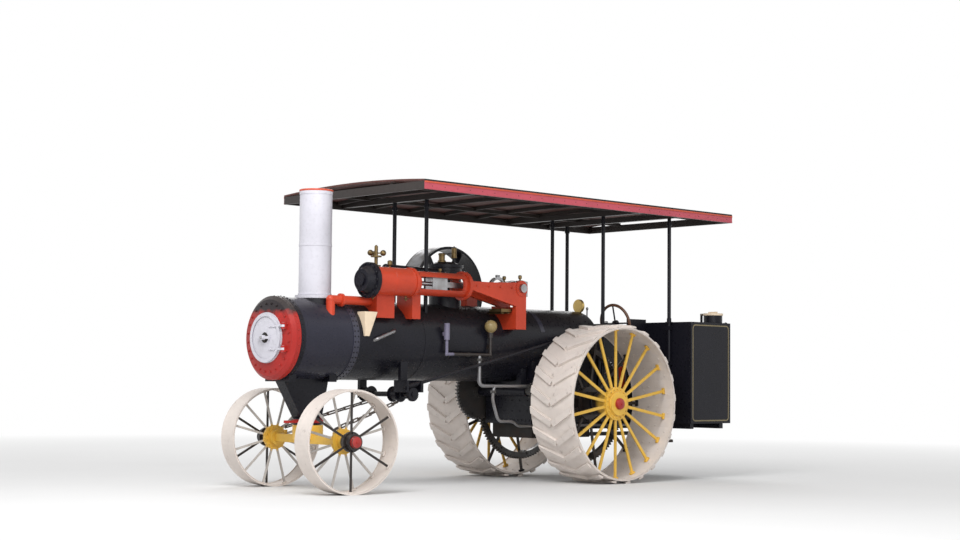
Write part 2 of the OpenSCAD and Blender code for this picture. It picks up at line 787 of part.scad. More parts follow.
module crosshead() placed() color([0.62, 0.62, 0.64]) {
    across(crosshead_x, engine_y - 55, engine_z) cylinder(h = 110, r = 26);
    difference() {
        along(crosshead_x - 100, engine_y, engine_z) cylinder(h = 200, r = guide_bore - 1);
        translate([crosshead_x - 101, engine_y - rod_half_w - 2, engine_z - 200])
            cube([150, 2 * rod_half_w + 4, 400]);
        translate([crosshead_x - 101, engine_y + 56, engine_z - 200]) cube([202, 100, 400]);
        translate([crosshead_x - 101, engine_y - 156, engine_z - 200]) cube([202, 100, 400]);
    }
    along(crosshead_x + 99, engine_y, engine_z) cylinder(h = cylinder_back + 50 - crosshead_x - 99, r = 22);
}

// The rod is opened at its big end, which stays on the crank pin and turns with it
module connecting_rod() placed() color([0.62, 0.62, 0.64]) {
    rod_start = pin_x + big_end_r + run;
    difference() {
        union() {
            across(crosshead_x, engine_y - rod_half_w, engine_z) cylinder(h = 2 * rod_half_w, r = 44);
            translate([rod_start, engine_y - 20, engine_z - 28]) cube([crosshead_x - rod_start, 40, 56]);
        }
        across(crosshead_x, engine_y - 60, engine_z) cylinder(h = 120, r = 26 + fit);
    }
}

module crankshaft() placed() color([0.55, 0.55, 0.57]) {
    end = engine_y + arm_in + arm_t + 40;
    difference() {
        across(crank_x, -flywheel_y - flywheel_w - 50, engine_z)
            cylinder(h = end + flywheel_y + flywheel_w + 50, r = shaft_r);
        across(crank_x, engine_y - web_gap, engine_z) cylinder(h = 2 * web_gap, r = 2 * shaft_r);
    }
    across(pin_x, engine_y - web_gap - web_t, engine_z) cylinder(h = 2 * (web_gap + web_t), r = pin_r);
    across(pin_x, engine_y - rod_half_w, engine_z) cylinder(h = 2 * rod_half_w, r = big_end_r);
    for (y = [engine_y - web_gap - web_t, engine_y + web_gap])
        difference() {
            side_plate(y, web_t)
                polygon([[pin_x + 55, engine_z - 55], [pin_x + 55, engine_z + 55], [crank_x - 60, engine_z + 95],
                         [crank_x - 160, engine_z + 80], [crank_x - 160, engine_z - 80], [crank_x - 60, engine_z - 95]]);
        }
    // Eccentric beside the inner bearing
    across(crank_x - eccentric_off, 180, engine_z) cylinder(h = 40, r = eccentric_r);
}

module flywheel() placed() color([0.72, 0.12, 0.07]) right_side() {
    across(crank_x, flywheel_y, engine_z) difference() {
        union() {
            difference() {
                cylinder(h = flywheel_w, r = flywheel_r, $fn = 128);
                translate([0, 0, -over]) cylinder(h = flywheel_w + 2 * over, r = flywheel_r - 28, $fn = 128);
            }
            translate([0, 0, flywheel_w / 2 - 80]) cylinder(h = 160, r = 100);
            intersection() {
                for (a = [0:60:300]) rotate([0, 0, a])
                    translate([0, -32, flywheel_w / 2 - 22]) cube([flywheel_r, 64, 44]);
                cylinder(h = flywheel_w, r = flywheel_r - 10, $fn = 128);
            }
        }
        translate([0, 0, -over]) cylinder(h = flywheel_w + 2 * over, r = shaft_r);
    }
}

module right_bearing() placed() color([0.72, 0.12, 0.07]) right_side() {
    difference() {
        union() {
            across(crank_x, bearing_end - 85, engine_z) cylinder(h = 85, r = shaft_r + 38);
            translate([crank_x - 75, 200, boiler_z + 180]) cube([150, 155, engine_z - boiler_z - 180]);
        }
        across(crank_x, 100, engine_z) cylinder(h = 400, r = shaft_r + fit);
        barrel_end(boiler_r, 0, smokebox_front);
    }
}

module valve_gear() placed() color([0.62, 0.62, 0.64]) {
    // Eccentric strap, wide enough for the eccentric's whole turn, its rod and the valve rod
    strap_in = eccentric_r + eccentric_off + run;
    across(crank_x, 184, engine_z) difference() {
        cylinder(h = 32, r = strap_in + 28);
        translate([0, 0, -over]) cylinder(h = 32 + 2 * over, r = strap_in);
    }
    bar([crank_x + strap_in + 12, 200, engine_z + 6], [crank_x + 700, 200, engine_z + 30], 15);
    bar([crank_x + 698, 200, engine_z + 30], [cylinder_back + 90, 200, engine_z + 30], 12);
}

module governor() placed() color([0.7, 0.55, 0.2]) {
    x = cylinder_back + cylinder_len / 2 + 20;
    y = engine_y - cylinder_r - 50;
    translate([x, y, engine_z + 90]) cylinder(h = 80, r = 48);
    translate([x, y, engine_z + 170]) cylinder(h = 190, r = 18);
    translate([x, y, engine_z + 250]) cylinder(h = 14, r = 55);
    for (a = [0:120:240]) rotate_about(x, y, a) translate([75, 0, engine_z + 290]) sphere(r = 30, $fn = 32);
    for (a = [0:120:240]) rotate_about(x, y, a) translate([0, -6, engine_z + 284]) cube([75, 12, 12]);
}

module rotate_about(x, y, a) {
    translate([x, y, 0]) rotate([0, 0, a]) children();
}

module steam_pipe() placed() color([0.07, 0.07, 0.08]) {
    x = cylinder_back + cylinder_len / 2 - 110;
    y = engine_y - cylinder_r - 50;
    high = max(dome_top - 120, engine_z + 130);
    difference() {
        bar([dome_x, 60, high], [x, y, high], 38);
        translate([dome_x, 0, boiler_top]) cylinder(h = dome_top, r = dome_r);
    }
    translate([x, y, high]) sphere(r = 40, $fn = 32);
    translate([x, y, engine_z + 90]) cylinder(h = high - engine_z - 90, r = 38);
}

module exhaust_pipe() placed() color([0.78, 0.16, 0.1]) {
    x = cylinder_back + cylinder_len - 100;
    y = 285;
    z = boiler_top - 17;
    bend = stack_x + 25;
    difference() {
        union() {
            along(x, y, z) cylinder(h = bend - x, r = 44);
            translate([bend, y, z]) sphere(r = 46, $fn = 32);
            translate([bend, y, z - 200]) cylinder(h = 200, r = 44);
            along(bend - 140, y, z) cylinder(h = 26, r = 64);
        }
        barrel_end(boiler_r, 0, smokebox_front);
        translate([stack_x, 0, boiler_z]) cylinder(h = 2 * boiler_r, r = stack_r + 71);
    }
}

module feed_pump() placed() color([0.5, 0.42, 0.22]) {
    // Pump body on the left flank and the pipe along the barrel
    y = boiler_r + 34;
    low = boiler_z - 125;
    translate([1960, y, boiler_z + 20]) cylinder(h = 170, r = 30);
    bar([1345, y, low], [1960, y, low], 16);
    translate([1960, y, low]) sphere(r = 20, $fn = 32);
    translate([1960, y, low]) cylinder(h = boiler_z + 40 - low, r = 16);
    // Check valve
    translate([1345, y, low]) cylinder(h = 220, r = 16);
    translate([1345, y, low]) sphere(r = 20, $fn = 32);
    translate([1345, y + 8, low + 300]) sphere(r = 66, $fn = 48);
    translate([1345, y, low + 180]) cylinder(h = 70, r = 28);
    // Brackets on the barrel
    difference() {
        for (p = [[1960, 60], [1345, -60], [1650, -145]])
            translate([p[0] - 20, boiler_r - 90, boiler_z + p[1]]) cube([40, 124, 40]);
        barrel_end(boiler_r, 0, smokebox_front);
        bar([1345, y, low], [1960, y, low], 16);
    }
}

// Steering

module steering_roller() placed() color([0.06, 0.06, 0.07]) {
    across(roller_x, -380, roller_z) cylinder(h = 380 + rod_y + 30, r = 26);
    for (y = [-chain_y, chain_y]) across(roller_x, y - 60, roller_z) cylinder(h = 120, r = roller_r);
    // Hangers under the barrel
    difference() {
        both_sides() translate([roller_x - 45, 300, roller_z - 45]) cube([90, 40, 420]);
        barrel_end(boiler_r, 0, smokebox_front);
        across(roller_x, -500, roller_z) cylinder(h = 1000, r = 26);
    }
    // Worm wheel
    across(roller_x, rod_y - 19, roller_z) cylinder(h = 38, r = 64);
    // Bearings for the steering rod, one by the worm and one on the barrel
    difference() {
        union() {
            for (x = [roller_x - 120, roller_x + 70]) {
                translate([x, 300, roller_z + 20]) cube([30, rod_y + 30 - 300, 120]);
                translate([x < roller_x ? x : roller_x, 300, roller_z + 20]) cube([100, 40, 120]);
            }
            translate([rod_bearing_x, 300, rod_height(rod_bearing_x) - 30]) cube([40, rod_y - 270, 60]);
        }
        barrel_end(boiler_r, -backhead, smokebox_front);
        bar(worm_at - rod_dir * 130, wheel_at, 17 + fit);
    }
}

module steering_rod() placed() color([0.07, 0.07, 0.08]) {
    bar(worm_at - 120 * rod_dir, wheel_at, 17);
    bar(worm_at - 60 * rod_dir, worm_at + 60 * rod_dir, 22);
    tilt = atan2(wheel_at[2] - worm_at[2], wheel_at[0] - worm_at[0]);
    translate(wheel_at) rotate([0, 90 - tilt, 0]) {
        rotate_extrude($fn = 64) translate([hand_wheel_r, 0]) circle(r = 14, $fn = 24);
        for (a = [0:90:270]) rotate([0, 0, a]) rotate([0, 90, 0]) cylinder(h = hand_wheel_r, r = 9, $fn = 24);
        translate([0, 0, -20]) cylinder(h = 45, r = 34);
    }
}

module chain_link() {
    translate([0, 0, -chain_wire / 2]) linear_extrude(chain_wire) difference() {
        square([chain_pitch + 2 * chain_wire, chain_w], center = true);
        square([chain_pitch - chain_wire, 18], center = true);
    }
}

// A chain's front end, just over the axle's stud once the axle is turned
function eye_at(hand) =
    let (dx = eye_x - front_axle_x, dy = hand * eye_y)
    [front_axle_x + dx * cos(steer_rest) - dy * sin(steer_rest),
     dx * sin(steer_rest) + dy * cos(steer_rest), eye_z + 2 * run + link_reach];

// Where that chain meets the underside of its drum
function drum_at(from, hand) =
    let (reach = roller_r + link_reach - chain_draw,
         gap = [from[0] - roller_x, roller_z - from[2]],
         slope = atan2(gap[1], gap[0]) - asin(reach / norm(gap)),
         length = sqrt(pow(norm(gap), 2) - pow(reach, 2)))
    [from[0] - length * cos(slope), hand * chain_y, from[2] + length * sin(slope)];

module steering_chains() placed() color([0.4, 0.37, 0.34]) for (hand = [-1, 1]) {
    from = eye_at(hand);
    to = drum_at(from, hand);
    d = to - from;
    count = floor(norm(d) / chain_pitch);
    for (i = [0:count - 1])
        translate(from + d * (i + 0.5) / count)
            rotate([0, -asin(d[2] / norm(d)), atan2(d[1], d[0])])
                rotate([hand * ((count - i) % 2 == 0 ? 45 : -45), 0, 0]) chain_link();
}

// Platform

module platform() placed() color([0.3, 0.22, 0.15]) {
    // Deck, its narrow rear end and the step below the entry
    translate([-tank_front, -deck_half_w, deck_z - deck_t])
        cube([tank_front - backhead, 2 * deck_half_w, deck_t]);
    translate([-tank_back, -tank_inner + 2, deck_z - deck_t]) cube([tank_back - tank_front, 2 * (tank_inner - 2), deck_t]);
    translate([-tank_back - 60, -200, step_z]) cube([220, 400, 30]);
    for (y = [-190, 160]) translate([-tank_back + 20, y, step_z]) cube([40, 30, deck_z - deck_t - step_z]);
}

// Channel rails from the firebox to the rear, and the bearers under the tank and bunker
module platform_rails() placed() color([0.06, 0.06, 0.07]) both_sides() {
    translate([-tank_back, tank_inner - 60, deck_z - deck_t - rail_h]) cube([tank_back - backhead, 50, rail_h]);
    for (x = [-tank_back + 60, -tank_front - 120])
        translate([x, tank_inner - 60, tank_bottom - 60]) cube([60, tank_side - tank_inner, 60]);
}

// Side sheets, low beside the wheels and high ahead of the tank and bunker
module side_sheets() placed() color([0.06, 0.06, 0.07]) {
    both_sides() translate([0, deck_half_w - 12, 0]) {
        translate([-sheet_front, 0, deck_z]) cube([sheet_front - backhead - 90, 12, 320]);
        translate([-tank_front, 0, deck_z]) cube([tank_front - sheet_front, 12, sheet_top - deck_z]);
    }
}

module water_tank() placed() color([0.06, 0.06, 0.07]) {
    difference() {
        translate([-tank_back, tank_inner, tank_bottom])
            cube([tank_back - tank_front, tank_side - tank_inner, tank_top - tank_bottom]);
        translate([lid_x, lid_y, tank_top - 120]) cylinder(h = 130, r = lid_r - 20);
    }
    translate([lid_x, lid_y, tank_top - 1]) difference() {
        cylinder(h = neck_h + 1, r = lid_r - 8);
        translate([0, 0, -over]) cylinder(h = neck_h + 1 + 2 * over, r = lid_r - 20);
    }
    // Hinge lugs
    for (x = [-56, 42])
        difference() {
            translate([lid_x + x, lid_hinge_y - 14, tank_top]) cube([14, 25, neck_h + 24]);
            along(lid_x + x - over, lid_hinge_y, lid_z + 12) cylinder(h = 14 + 2 * over, r = 6 + fit);
        }
}

module tank_lid() placed() color([0.75, 0.7, 0.55]) {
    translate([lid_x, lid_y, lid_z]) cylinder(h = 24, r = lid_r);
    translate([lid_x - 10, lid_y - 60, lid_z + 24]) cube([20, 120, 20]);
    // Hinge knuckle and pin on the inner side
    along(lid_x - 41, lid_hinge_y, lid_z + 12) cylinder(h = 82, r = 12);
    along(lid_x - 55, lid_hinge_y, lid_z + 12) cylinder(h = 110, r = 6);
    translate([lid_x - 41, lid_hinge_y, lid_z + 4]) cube([82, 40, 16]);
}

module coal_bunker() placed() color([0.06, 0.06, 0.07]) right_side() {
    difference() {
        translate([-tank_back, tank_inner, tank_bottom])
            cube([tank_back - tank_front, tank_side - tank_inner, tank_top - tank_bottom]);
        translate([-tank_back + bunker_wall, tank_inner + bunker_wall, tank_bottom + bunker_wall])
            cube([tank_back - tank_front - 2 * bunker_wall, tank_side - tank_inner - 2 * bunker_wall, 2000]);
    }
}

module drawbar() placed() color([0.06, 0.06, 0.07]) {
    low = drawbar_z - drawbar_t / 2;
    high = drawbar_z + drawbar_t / 2;
    difference() {
        translate([-drawbar_back, -drawbar_w / 2, low]) cube([drawbar_back - backhead + 40, drawbar_w, drawbar_t]);
        translate([-drawbar_back + 55, 0, low - over]) cylinder(h = drawbar_t + 2 * over, r = drawbar_pin_r);
    }
    for (x = [-tank_back + 30, -backhead - 60])
        translate([x, -drawbar_w / 2, high]) cube([40, drawbar_w, deck_z - deck_t - high]);
}

module levers() placed() color([0.5, 0.1, 0.06]) {
    // Reversing lever beside its quadrant, on a plate that stands on the deck
    foot = [-lever_x, deck_z + 20];
    side_plate(lever_y, 14) {
        difference() {
            translate(foot) circle(r = quadrant_r, $fn = 240);
            translate(foot) circle(r = quadrant_r - 30, $fn = 240);
            translate(foot - [2 * quadrant_r, 2 * quadrant_r - 460]) square([4 * quadrant_r, 2 * quadrant_r]);
        }
        translate([-lever_x - 45, deck_z]) square([90, quadrant_r]);
    }
    side_plate(lever_y + 14, 12)
        polygon([foot + [-20, -20], foot + [20, -20], foot + [-30, 930], foot + [-50, 930]]);
}

// Canopy

function roof_z(y) = board_top + roof_rise * (1 - pow(y / canopy_half_w, 2));

module canopy_roof() placed() color([0.35, 0.1, 0.07]) {
    steps = 12;
    y_at = [for (i = [0:steps]) canopy_half_w * (2 * i / steps - 1)];
    translate([-canopy_back, 0, 0]) rotate([90, 0, 90]) linear_extrude(canopy_front + canopy_back)
        polygon(concat([for (y = y_at) [y, roof_z(y)]],
                       [for (i = [steps:-1:0]) [y_at[i], roof_z(y_at[i]) + roof_t]]));
}

module canopy_boards() placed() color([0.75, 0.12, 0.1]) {
    length = canopy_front + canopy_back;
    difference() {
        translate([-canopy_back, -canopy_half_w, canopy_z]) cube([length, 2 * canopy_half_w, board_h]);
        translate([-canopy_back + board_t, -canopy_half_w + board_t, canopy_z - over])
            cube([length - 2 * board_t, 2 * (canopy_half_w - board_t), board_h + 2 * over]);
    }
    // Bearers over the posts
    for (x = [-rear_post_x, -mid_post_x, front_post_x])
        translate([x - 30, -canopy_half_w + board_t, canopy_z + 20])
            cube([60, 2 * (canopy_half_w - board_t), board_h - 20]);
}

module canopy_posts() placed() color([0.06, 0.06, 0.07]) both_sides() {
    bearer = canopy_z + 20;
    translate([-rear_post_x, rear_post_y, rear_post_low]) cylinder(h = bearer - rear_post_low, r = post_r);
    for (z = [rear_post_low + 30, tank_top - 90])
        translate([-tank_front, rear_post_y - 32, z]) cube([post_r * 2 + 6, 64, 45]);
    translate([-mid_post_x, mid_post_y, deck_z]) cylinder(h = bearer - deck_z, r = post_r);
    difference() {
        translate([front_post_x, front_post_y, boiler_z + 150]) cylinder(h = bearer - boiler_z - 150, r = post_r);
        barrel_end(boiler_r, 0, smokebox_front);
    }
}

boiler();
smokebox_ring();
smokebox_door();
stack();
stack_base();
steam_dome();
ash_pan();
fire_door();
stub_axles();
engine_frame();
steam_cylinder();  // cylinder
cylinder_head();
flank_bracket();
crosshead();
connecting_rod();
valve_gear();
governor();
steam_pipe();
exhaust_pipe();
right_bearing();
gear_train();
countershaft_tube();
pinion_body();  // pinion_left
right_side() pinion_body();  // pinion_right
crankshaft();
flywheel();
rear_wheel_frame() rear_rim();  // rear_rim_left
right_side() rear_wheel_frame() rear_rim();  // rear_rim_right
rear_wheel_frame() rear_spider();  // rear_spider_left
right_side() rear_wheel_frame() rear_spider();  // rear_spider_right
bull_gear();  // bull_gear_left
right_side() bull_gear();  // bull_gear_right
front_pedestal();
front_axle();
front_wheel_frame(1) front_rim();  // front_rim_left
front_wheel_frame(-1) front_rim();  // front_rim_right
front_wheel_frame(1) front_spider();  // front_spider_left
front_wheel_frame(-1) front_spider();  // front_spider_right
steering_roller();
steering_rod();
steering_chains();
feed_pump();
levers();
platform();
platform_rails();
side_sheets();
water_tank();
tank_lid();
coal_bunker();
drawbar();
canopy_roof();
canopy_boards();
canopy_posts();
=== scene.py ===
# Dresses the steam traction engine: finishes for its solids, and the small pieces that they leave out
import json
import math

import bmesh
import bpy
from mathutils import Matrix, Vector


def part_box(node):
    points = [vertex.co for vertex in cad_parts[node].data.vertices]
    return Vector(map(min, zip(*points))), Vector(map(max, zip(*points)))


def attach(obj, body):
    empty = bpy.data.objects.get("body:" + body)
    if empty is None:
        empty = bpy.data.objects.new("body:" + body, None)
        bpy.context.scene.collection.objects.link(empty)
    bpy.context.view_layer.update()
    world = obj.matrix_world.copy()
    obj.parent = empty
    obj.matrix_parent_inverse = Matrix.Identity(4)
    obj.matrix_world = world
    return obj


bl_info = {
    "name": "Steam traction engine dressing",
    "version": (1, 0, 0),
    "blender": (4, 5, 0),
    "location": "View3D > Sidebar > Engine",
    "description": "Finishes, rivets, fittings and stage for a steam traction engine with a canopy",
    "category": "Object",
}

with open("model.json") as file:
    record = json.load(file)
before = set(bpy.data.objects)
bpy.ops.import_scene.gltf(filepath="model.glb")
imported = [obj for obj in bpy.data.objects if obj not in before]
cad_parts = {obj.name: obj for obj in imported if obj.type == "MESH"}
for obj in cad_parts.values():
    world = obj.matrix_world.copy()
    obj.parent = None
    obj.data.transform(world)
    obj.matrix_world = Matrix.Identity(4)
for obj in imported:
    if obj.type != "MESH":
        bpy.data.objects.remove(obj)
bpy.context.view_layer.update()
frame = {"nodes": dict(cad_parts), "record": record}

# Places are in metres ahead of the rear axle, left of the middle and above the ground
rim_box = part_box("rear_rim_left")
REAR_AXLE_X = (rim_box[0].x + rim_box[1].x) / 2
REAR_AXLE_Z = (rim_box[0].z + rim_box[1].z) / 2
REAR_INNER_Y = rim_box[0].y
CRANK_X = sum(c.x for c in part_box("flywheel")) / 2 - REAR_AXLE_X
STACK_X = sum(c.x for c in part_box("stack")) / 2 - REAR_AXLE_X
CYLINDER_BACK, CYLINDER_FRONT = (c.x - REAR_AXLE_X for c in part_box("cylinder"))
CYLINDER_MID = (CYLINDER_BACK + CYLINDER_FRONT) / 2
GUIDE_BACK = 1.72
FRONT_AXLE_X = 3.395
FRONT_AXLE_Z = 0.495
FRONT_INNER_Y = 0.623
STEER_REST = math.radians(-8)
BOILER_R = 0.4
BOILER_Z = 1.477
FIREBOX_Y = 0.355
FIREBOX_FRONT = 0.65
BACKHEAD_X = -0.38
SMOKEBOX_BACK = 3.12
DOOR_X = 3.9345
STRAPS_Z = (BOILER_Z - 0.11, BOILER_Z + 0.11)
DOME_X = 1.6
ENGINE_Y = 0.42
ENGINE_Z = 2.06
BEARINGS_Y = (0.3, 0.54)
AIR_VESSEL = (1.345, 0.442, 1.652)
PUMP_BACK = 1.87
PIPE_Y = 0.434
ROLLER_AT = (2.45, 0.94)
TANK_X = (-1.82, -1.12)
TANK_Y = (0.3, 1.1)
TANK_Z = (0.627, 1.765)
LID_AT = Vector((-1.677, 0.963, 0))
ROOF_HALF = 1.12
LUGS = 24
# A spoke's foot: inner end, outer end, half width, half height, chamfer, rivets' y and their size
# A row of spokes: its place along the wheel's axle, its first spoke's angle and its count
REAR_RIM_INSIDE = 0.8065
REAR_FOOT = (0.786, REAR_RIM_INSIDE, 0.034, 0.018, 0.004, 0.025, 0.0075)
REAR_ROWS = ((0.067, 20, 9), (0.467, 10, 18))
FRONT_RIM_INSIDE = 0.4815
FRONT_FOOT = (0.468, FRONT_RIM_INSIDE, 0.024, 0.013, 0.003, 0.017, 0.006)
FRONT_ROWS = ((0.05, 15, 12), (0.204, 30, 6))
DUST = (0.30, 0.25, 0.20, 1)
RUST = (0.12, 0.045, 0.02, 1)

ROW = Matrix.Translation((REAR_AXLE_X, 0, 0))
MIRROR = Matrix.Scale(-1, 4, (0, 1, 0))


# Places


def upright(x, y, z):
    """A place whose own Z points up."""
    return Matrix.Translation((x, y, z))


def lengthways(x, y, z):
    """A place whose own Z points to the smokebox and own X up."""
    return Matrix(((0, 0, 1, x), (0, -1, 0, y), (1, 0, 0, z), (0, 0, 0, 1)))


def crossways(x, y, z):
    """A place whose own Z points to the left, X to the smokebox and Y down."""
    return Matrix(((1, 0, 0, x), (0, 0, 1, y), (0, -1, 0, z), (0, 0, 0, 1)))


def facing(at, out):
    """A place at a point whose own Z points along out."""
    return Matrix.Translation(at) @ Vector(out).to_track_quat("Z", "Y").to_matrix().to_4x4()


def polar(radius, degrees, height=0.0):
    """A point on a circle about a place's own Z."""
    angle = math.radians(degrees)
    return Vector((radius * math.cos(angle), radius * math.sin(angle), height))


def about_z(degrees):
    """A turn about a place's own Z."""
    return Matrix.Rotation(math.radians(degrees), 4, "Z")


def steps(low, high, count):
    """Evenly spaced values from low to high, both included."""
    return [low + (high - low) * i / (count - 1) for i in range(count)]


def rear_wheel(hand):
    """The frame of a rear wheel: own Z outward from the rim's inner face, and Y down."""
    left = ROW @ crossways(0, REAR_INNER_Y, REAR_AXLE_Z)
    return left if hand > 0 else MIRROR @ left


def steered():
    """The front axle's place, turned as it is steered at rest."""
    return Matrix.Translation((FRONT_AXLE_X, 0, 0)) @ Matrix.Rotation(STEER_REST, 4, "Z")


def front_wheel(hand):
    """The frame of a front wheel on the steered axle, as rear_wheel."""
    left = crossways(0, FRONT_INNER_Y, FRONT_AXLE_Z)
    return ROW @ steered() @ (left if hand > 0 else MIRROR @ left)


# Mesh building


class Piece:
    """A mesh of small closed forms, each marked with one of the piece's materials."""

    def __init__(self, base=ROW):
        self.base = base
        self.points = []
        self.faces = []
        self.marks = []
        self.mark = 0

    def add(self, points, faces, place=None):
        first = len(self.points)
        turn = self.base @ place if place is not None else self.base
        self.points += [turn @ Vector(p) for p in points]
        self.faces += [[first + i for i in face] for face in faces]
        self.marks += [self.mark] * len(faces)

    def block(self, low, high, place=None, chamfer=0.0):
        """A plate or bar from its low to its high corner, its edges broken where chamfer is given."""
        size = [b - a for a, b in zip(low, high)]
        c = min([chamfer] + [s * 0.4 for s in size])
        if c <= 0:
            ends = list(zip(low, high))
            points = [(x, y, z) for z in ends[2] for y in ends[1] for x in ends[0]]
            faces = [(0, 2, 3, 1), (4, 5, 7, 6), (0, 1, 5, 4), (2, 6, 7, 3), (0, 4, 6, 2), (1, 3, 7, 5)]
            self.add(points, faces, place)
            return
        grow = bmesh.new()
        middle = [(a + b) / 2 for a, b in zip(low, high)]
        bmesh.ops.create_cube(grow, size=1, matrix=Matrix.Translation(middle) @ Matrix.Diagonal((*size, 1)))
        bmesh.ops.bevel(grow, geom=grow.edges[:], offset=c, segments=1, affect="EDGES")
        grow.verts.index_update()
        points = [v.co.copy() for v in grow.verts]
        faces = [[v.index for v in f.verts] for f in grow.faces]
        grow.free()
        self.add(points, faces, place)

    def turned(self, profile, place=None, sides=32):
        """A turned form from (radius, height) pairs; a radius of nought closes an end."""
        points = []
        rows = []
        for radius, height in profile:
            if radius <= 0:
                rows.append([len(points)])
                points.append((0, 0, height))
            else:
                rows.append(list(range(len(points), len(points) + sides)))
                points += [polar(radius, 360 * i / sides, height) for i in range(sides)]
        faces = []
        for low, high in zip(rows, rows[1:]):
            for i in range(sides):
                j = (i + 1) % sides
                if len(low) == 1 and len(high) > 1:
                    faces.append((low[0], high[j], high[i]))
                elif len(high) == 1 and len(low) > 1:
                    faces.append((low[i], low[j], high[0]))
                elif len(low) > 1:
                    faces.append((low[i], low[j], high[j], high[i]))
        self.add(points, faces, place)

    def ring(self, inner, outer, low, high, place=None, sides=48, round_by=0.0):
        """A flat ring, its outer edges eased by round_by."""
        e = round_by
        profile = [(inner, low), (outer - e, low), (outer, low + e), (outer, high - e), (outer - e, high)]
        profile += [(inner, high), (inner, low)]
        count = len(profile) - 1
        points = [polar(r, 360 * i / sides, h) for i in range(sides) for r, h in profile[:count]]
        faces = []
        for i in range(sides):
            a = i * count
            b = (i + 1) % sides * count
            faces += [(a + k, b + k, b + (k + 1) % count, a + (k + 1) % count) for k in range(count)]
        self.add(points, faces, place)

    def hoop(self, inner, outer, low, high, start, end, place=None, sides=48):
        """Part of a flat ring, between two angles in degrees."""
        angles = steps(start, end, sides + 1)
        section = [(inner, low), (outer, low), (outer, high), (inner, high)]
        points = [polar(r, a, h) for a in angles for r, h in section]
        faces = []
        for i in range(sides):
            a = 4 * i
            faces += [(a + k, a + 4 + k, a + 4 + (k + 1) % 4, a + (k + 1) % 4) for k in range(4)]
        faces += [(0, 1, 2, 3), (4 * sides + 3, 4 * sides + 2, 4 * sides + 1, 4 * sides)]
        self.add(points, faces, place)

    def tube(self, path, radius, sides=12, corner=0.0, closed=False, place=None):
        """A pipe or wire through the path's points, its corners rounded over a length of corner."""
        route = [Vector(p) for p in path]
        if corner > 0:
            route = eased(route, corner)
        count = len(route)
        side = None
        points = []
        for i, at in enumerate(route):
            before = route[(i - 1) % count] if closed or i > 0 else at
            after = route[(i + 1) % count] if closed or i < count - 1 else at
            ahead = (after - before).normalized()
            side = ahead.orthogonal() if side is None else side - ahead * side.dot(ahead)
            side.normalize()
            over = ahead.cross(side)
            for k in range(sides):
                a = 2 * math.pi * k / sides
                points.append(at + radius * (math.cos(a) * side + math.sin(a) * over))
        faces = []
        for i in range(count if closed else count - 1):
            a = i * sides
            b = (i + 1) % count * sides
            faces += [(a + k, a + (k + 1) % sides, b + (k + 1) % sides, b + k) for k in range(sides)]
        if not closed:
            faces += [tuple(range(sides)), tuple(range((count - 1) * sides, count * sides))]
        self.add(points, faces, place)

    def rivet(self, at, out, radius):
        """A snap head on a face at a point, domed along out."""
        h = radius * 0.62
        profile = [(radius, 0), (radius * 0.86, h * 0.6), (radius * 0.45, h * 0.93), (0, h)]
        self.turned(profile, facing(at, out), 8)

    def bolt(self, at, out, radius):
        """A six-sided nut with its stud's end, on a face at a point."""
        nut = [(radius, 0), (radius, radius * 0.8), (radius * 0.86, radius * 0.95), (0, radius * 0.95)]
        self.turned(nut, facing(at, out), 6)
        end = [(radius * 0.5, radius * 0.9), (radius * 0.5, radius * 1.25), (0, radius * 1.3)]
        self.turned(end, facing(at, out), 8)

    def circle(self, head, place, radius, height, count, size, out=1):
        """Rivets or bolts in a circle about a place's own Z, which face along it or back."""
        away = place.to_3x3() @ Vector((0, 0, out))
        for i in range(count):
            head(place @ polar(radius, 360 * (i + 0.5) / count, height), away, size)

    def extruded(self, outline, low, high, place=None):
        """An outline of (x, y) points raised from low to high."""
        n = len(outline)
        points = [(x, y, h) for h in (low, high) for x, y in outline]
        faces = [tuple(range(n)), tuple(range(n, 2 * n))]
        faces += [(i, (i + 1) % n, n + (i + 1) % n, n + i) for i in range(n)]
        self.add(points, faces, place)

    def made(self, name, body, slot, *materials, sharp=34):
        """The finished object, riding on a body. The slot is not used."""
        mesh = bpy.data.meshes.new(name)
        mesh.from_pydata(self.points, [], self.faces)
        for material in materials:
            mesh.materials.append(material)
        mesh.polygons.foreach_set("material_index", self.marks)
        work = bmesh.new()
        work.from_mesh(mesh)
        bmesh.ops.recalc_face_normals(work, faces=work.faces)
        work.to_mesh(mesh)
        work.free()
        mesh.shade_smooth()
        mesh.set_sharp_from_angle(angle=math.radians(sharp))
        piece = bpy.data.objects.new(name, mesh)
        bpy.context.scene.collection.objects.link(piece)
        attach(piece, body)
        return piece


def eased(route, corner):
    """The route with each inner point replaced by a short curve."""
    result = [route[0]]
    for before, at, after in zip(route, route[1:], route[2:]):
        start = at + (before - at).normalized() * min(corner, (before - at).length * 0.48)
        end = at + (after - at).normalized() * min(corner, (after - at).length * 0.48)
        for t in steps(0, 1, 7):
            result.append(start * (1 - t) ** 2 + at * 2 * t * (1 - t) + end * t * t)
    return result + [route[-1]]


# Finishes


def shade(colour, factor):
    return tuple(min(1.0, c * factor) for c in colour[:3]) + (1,)


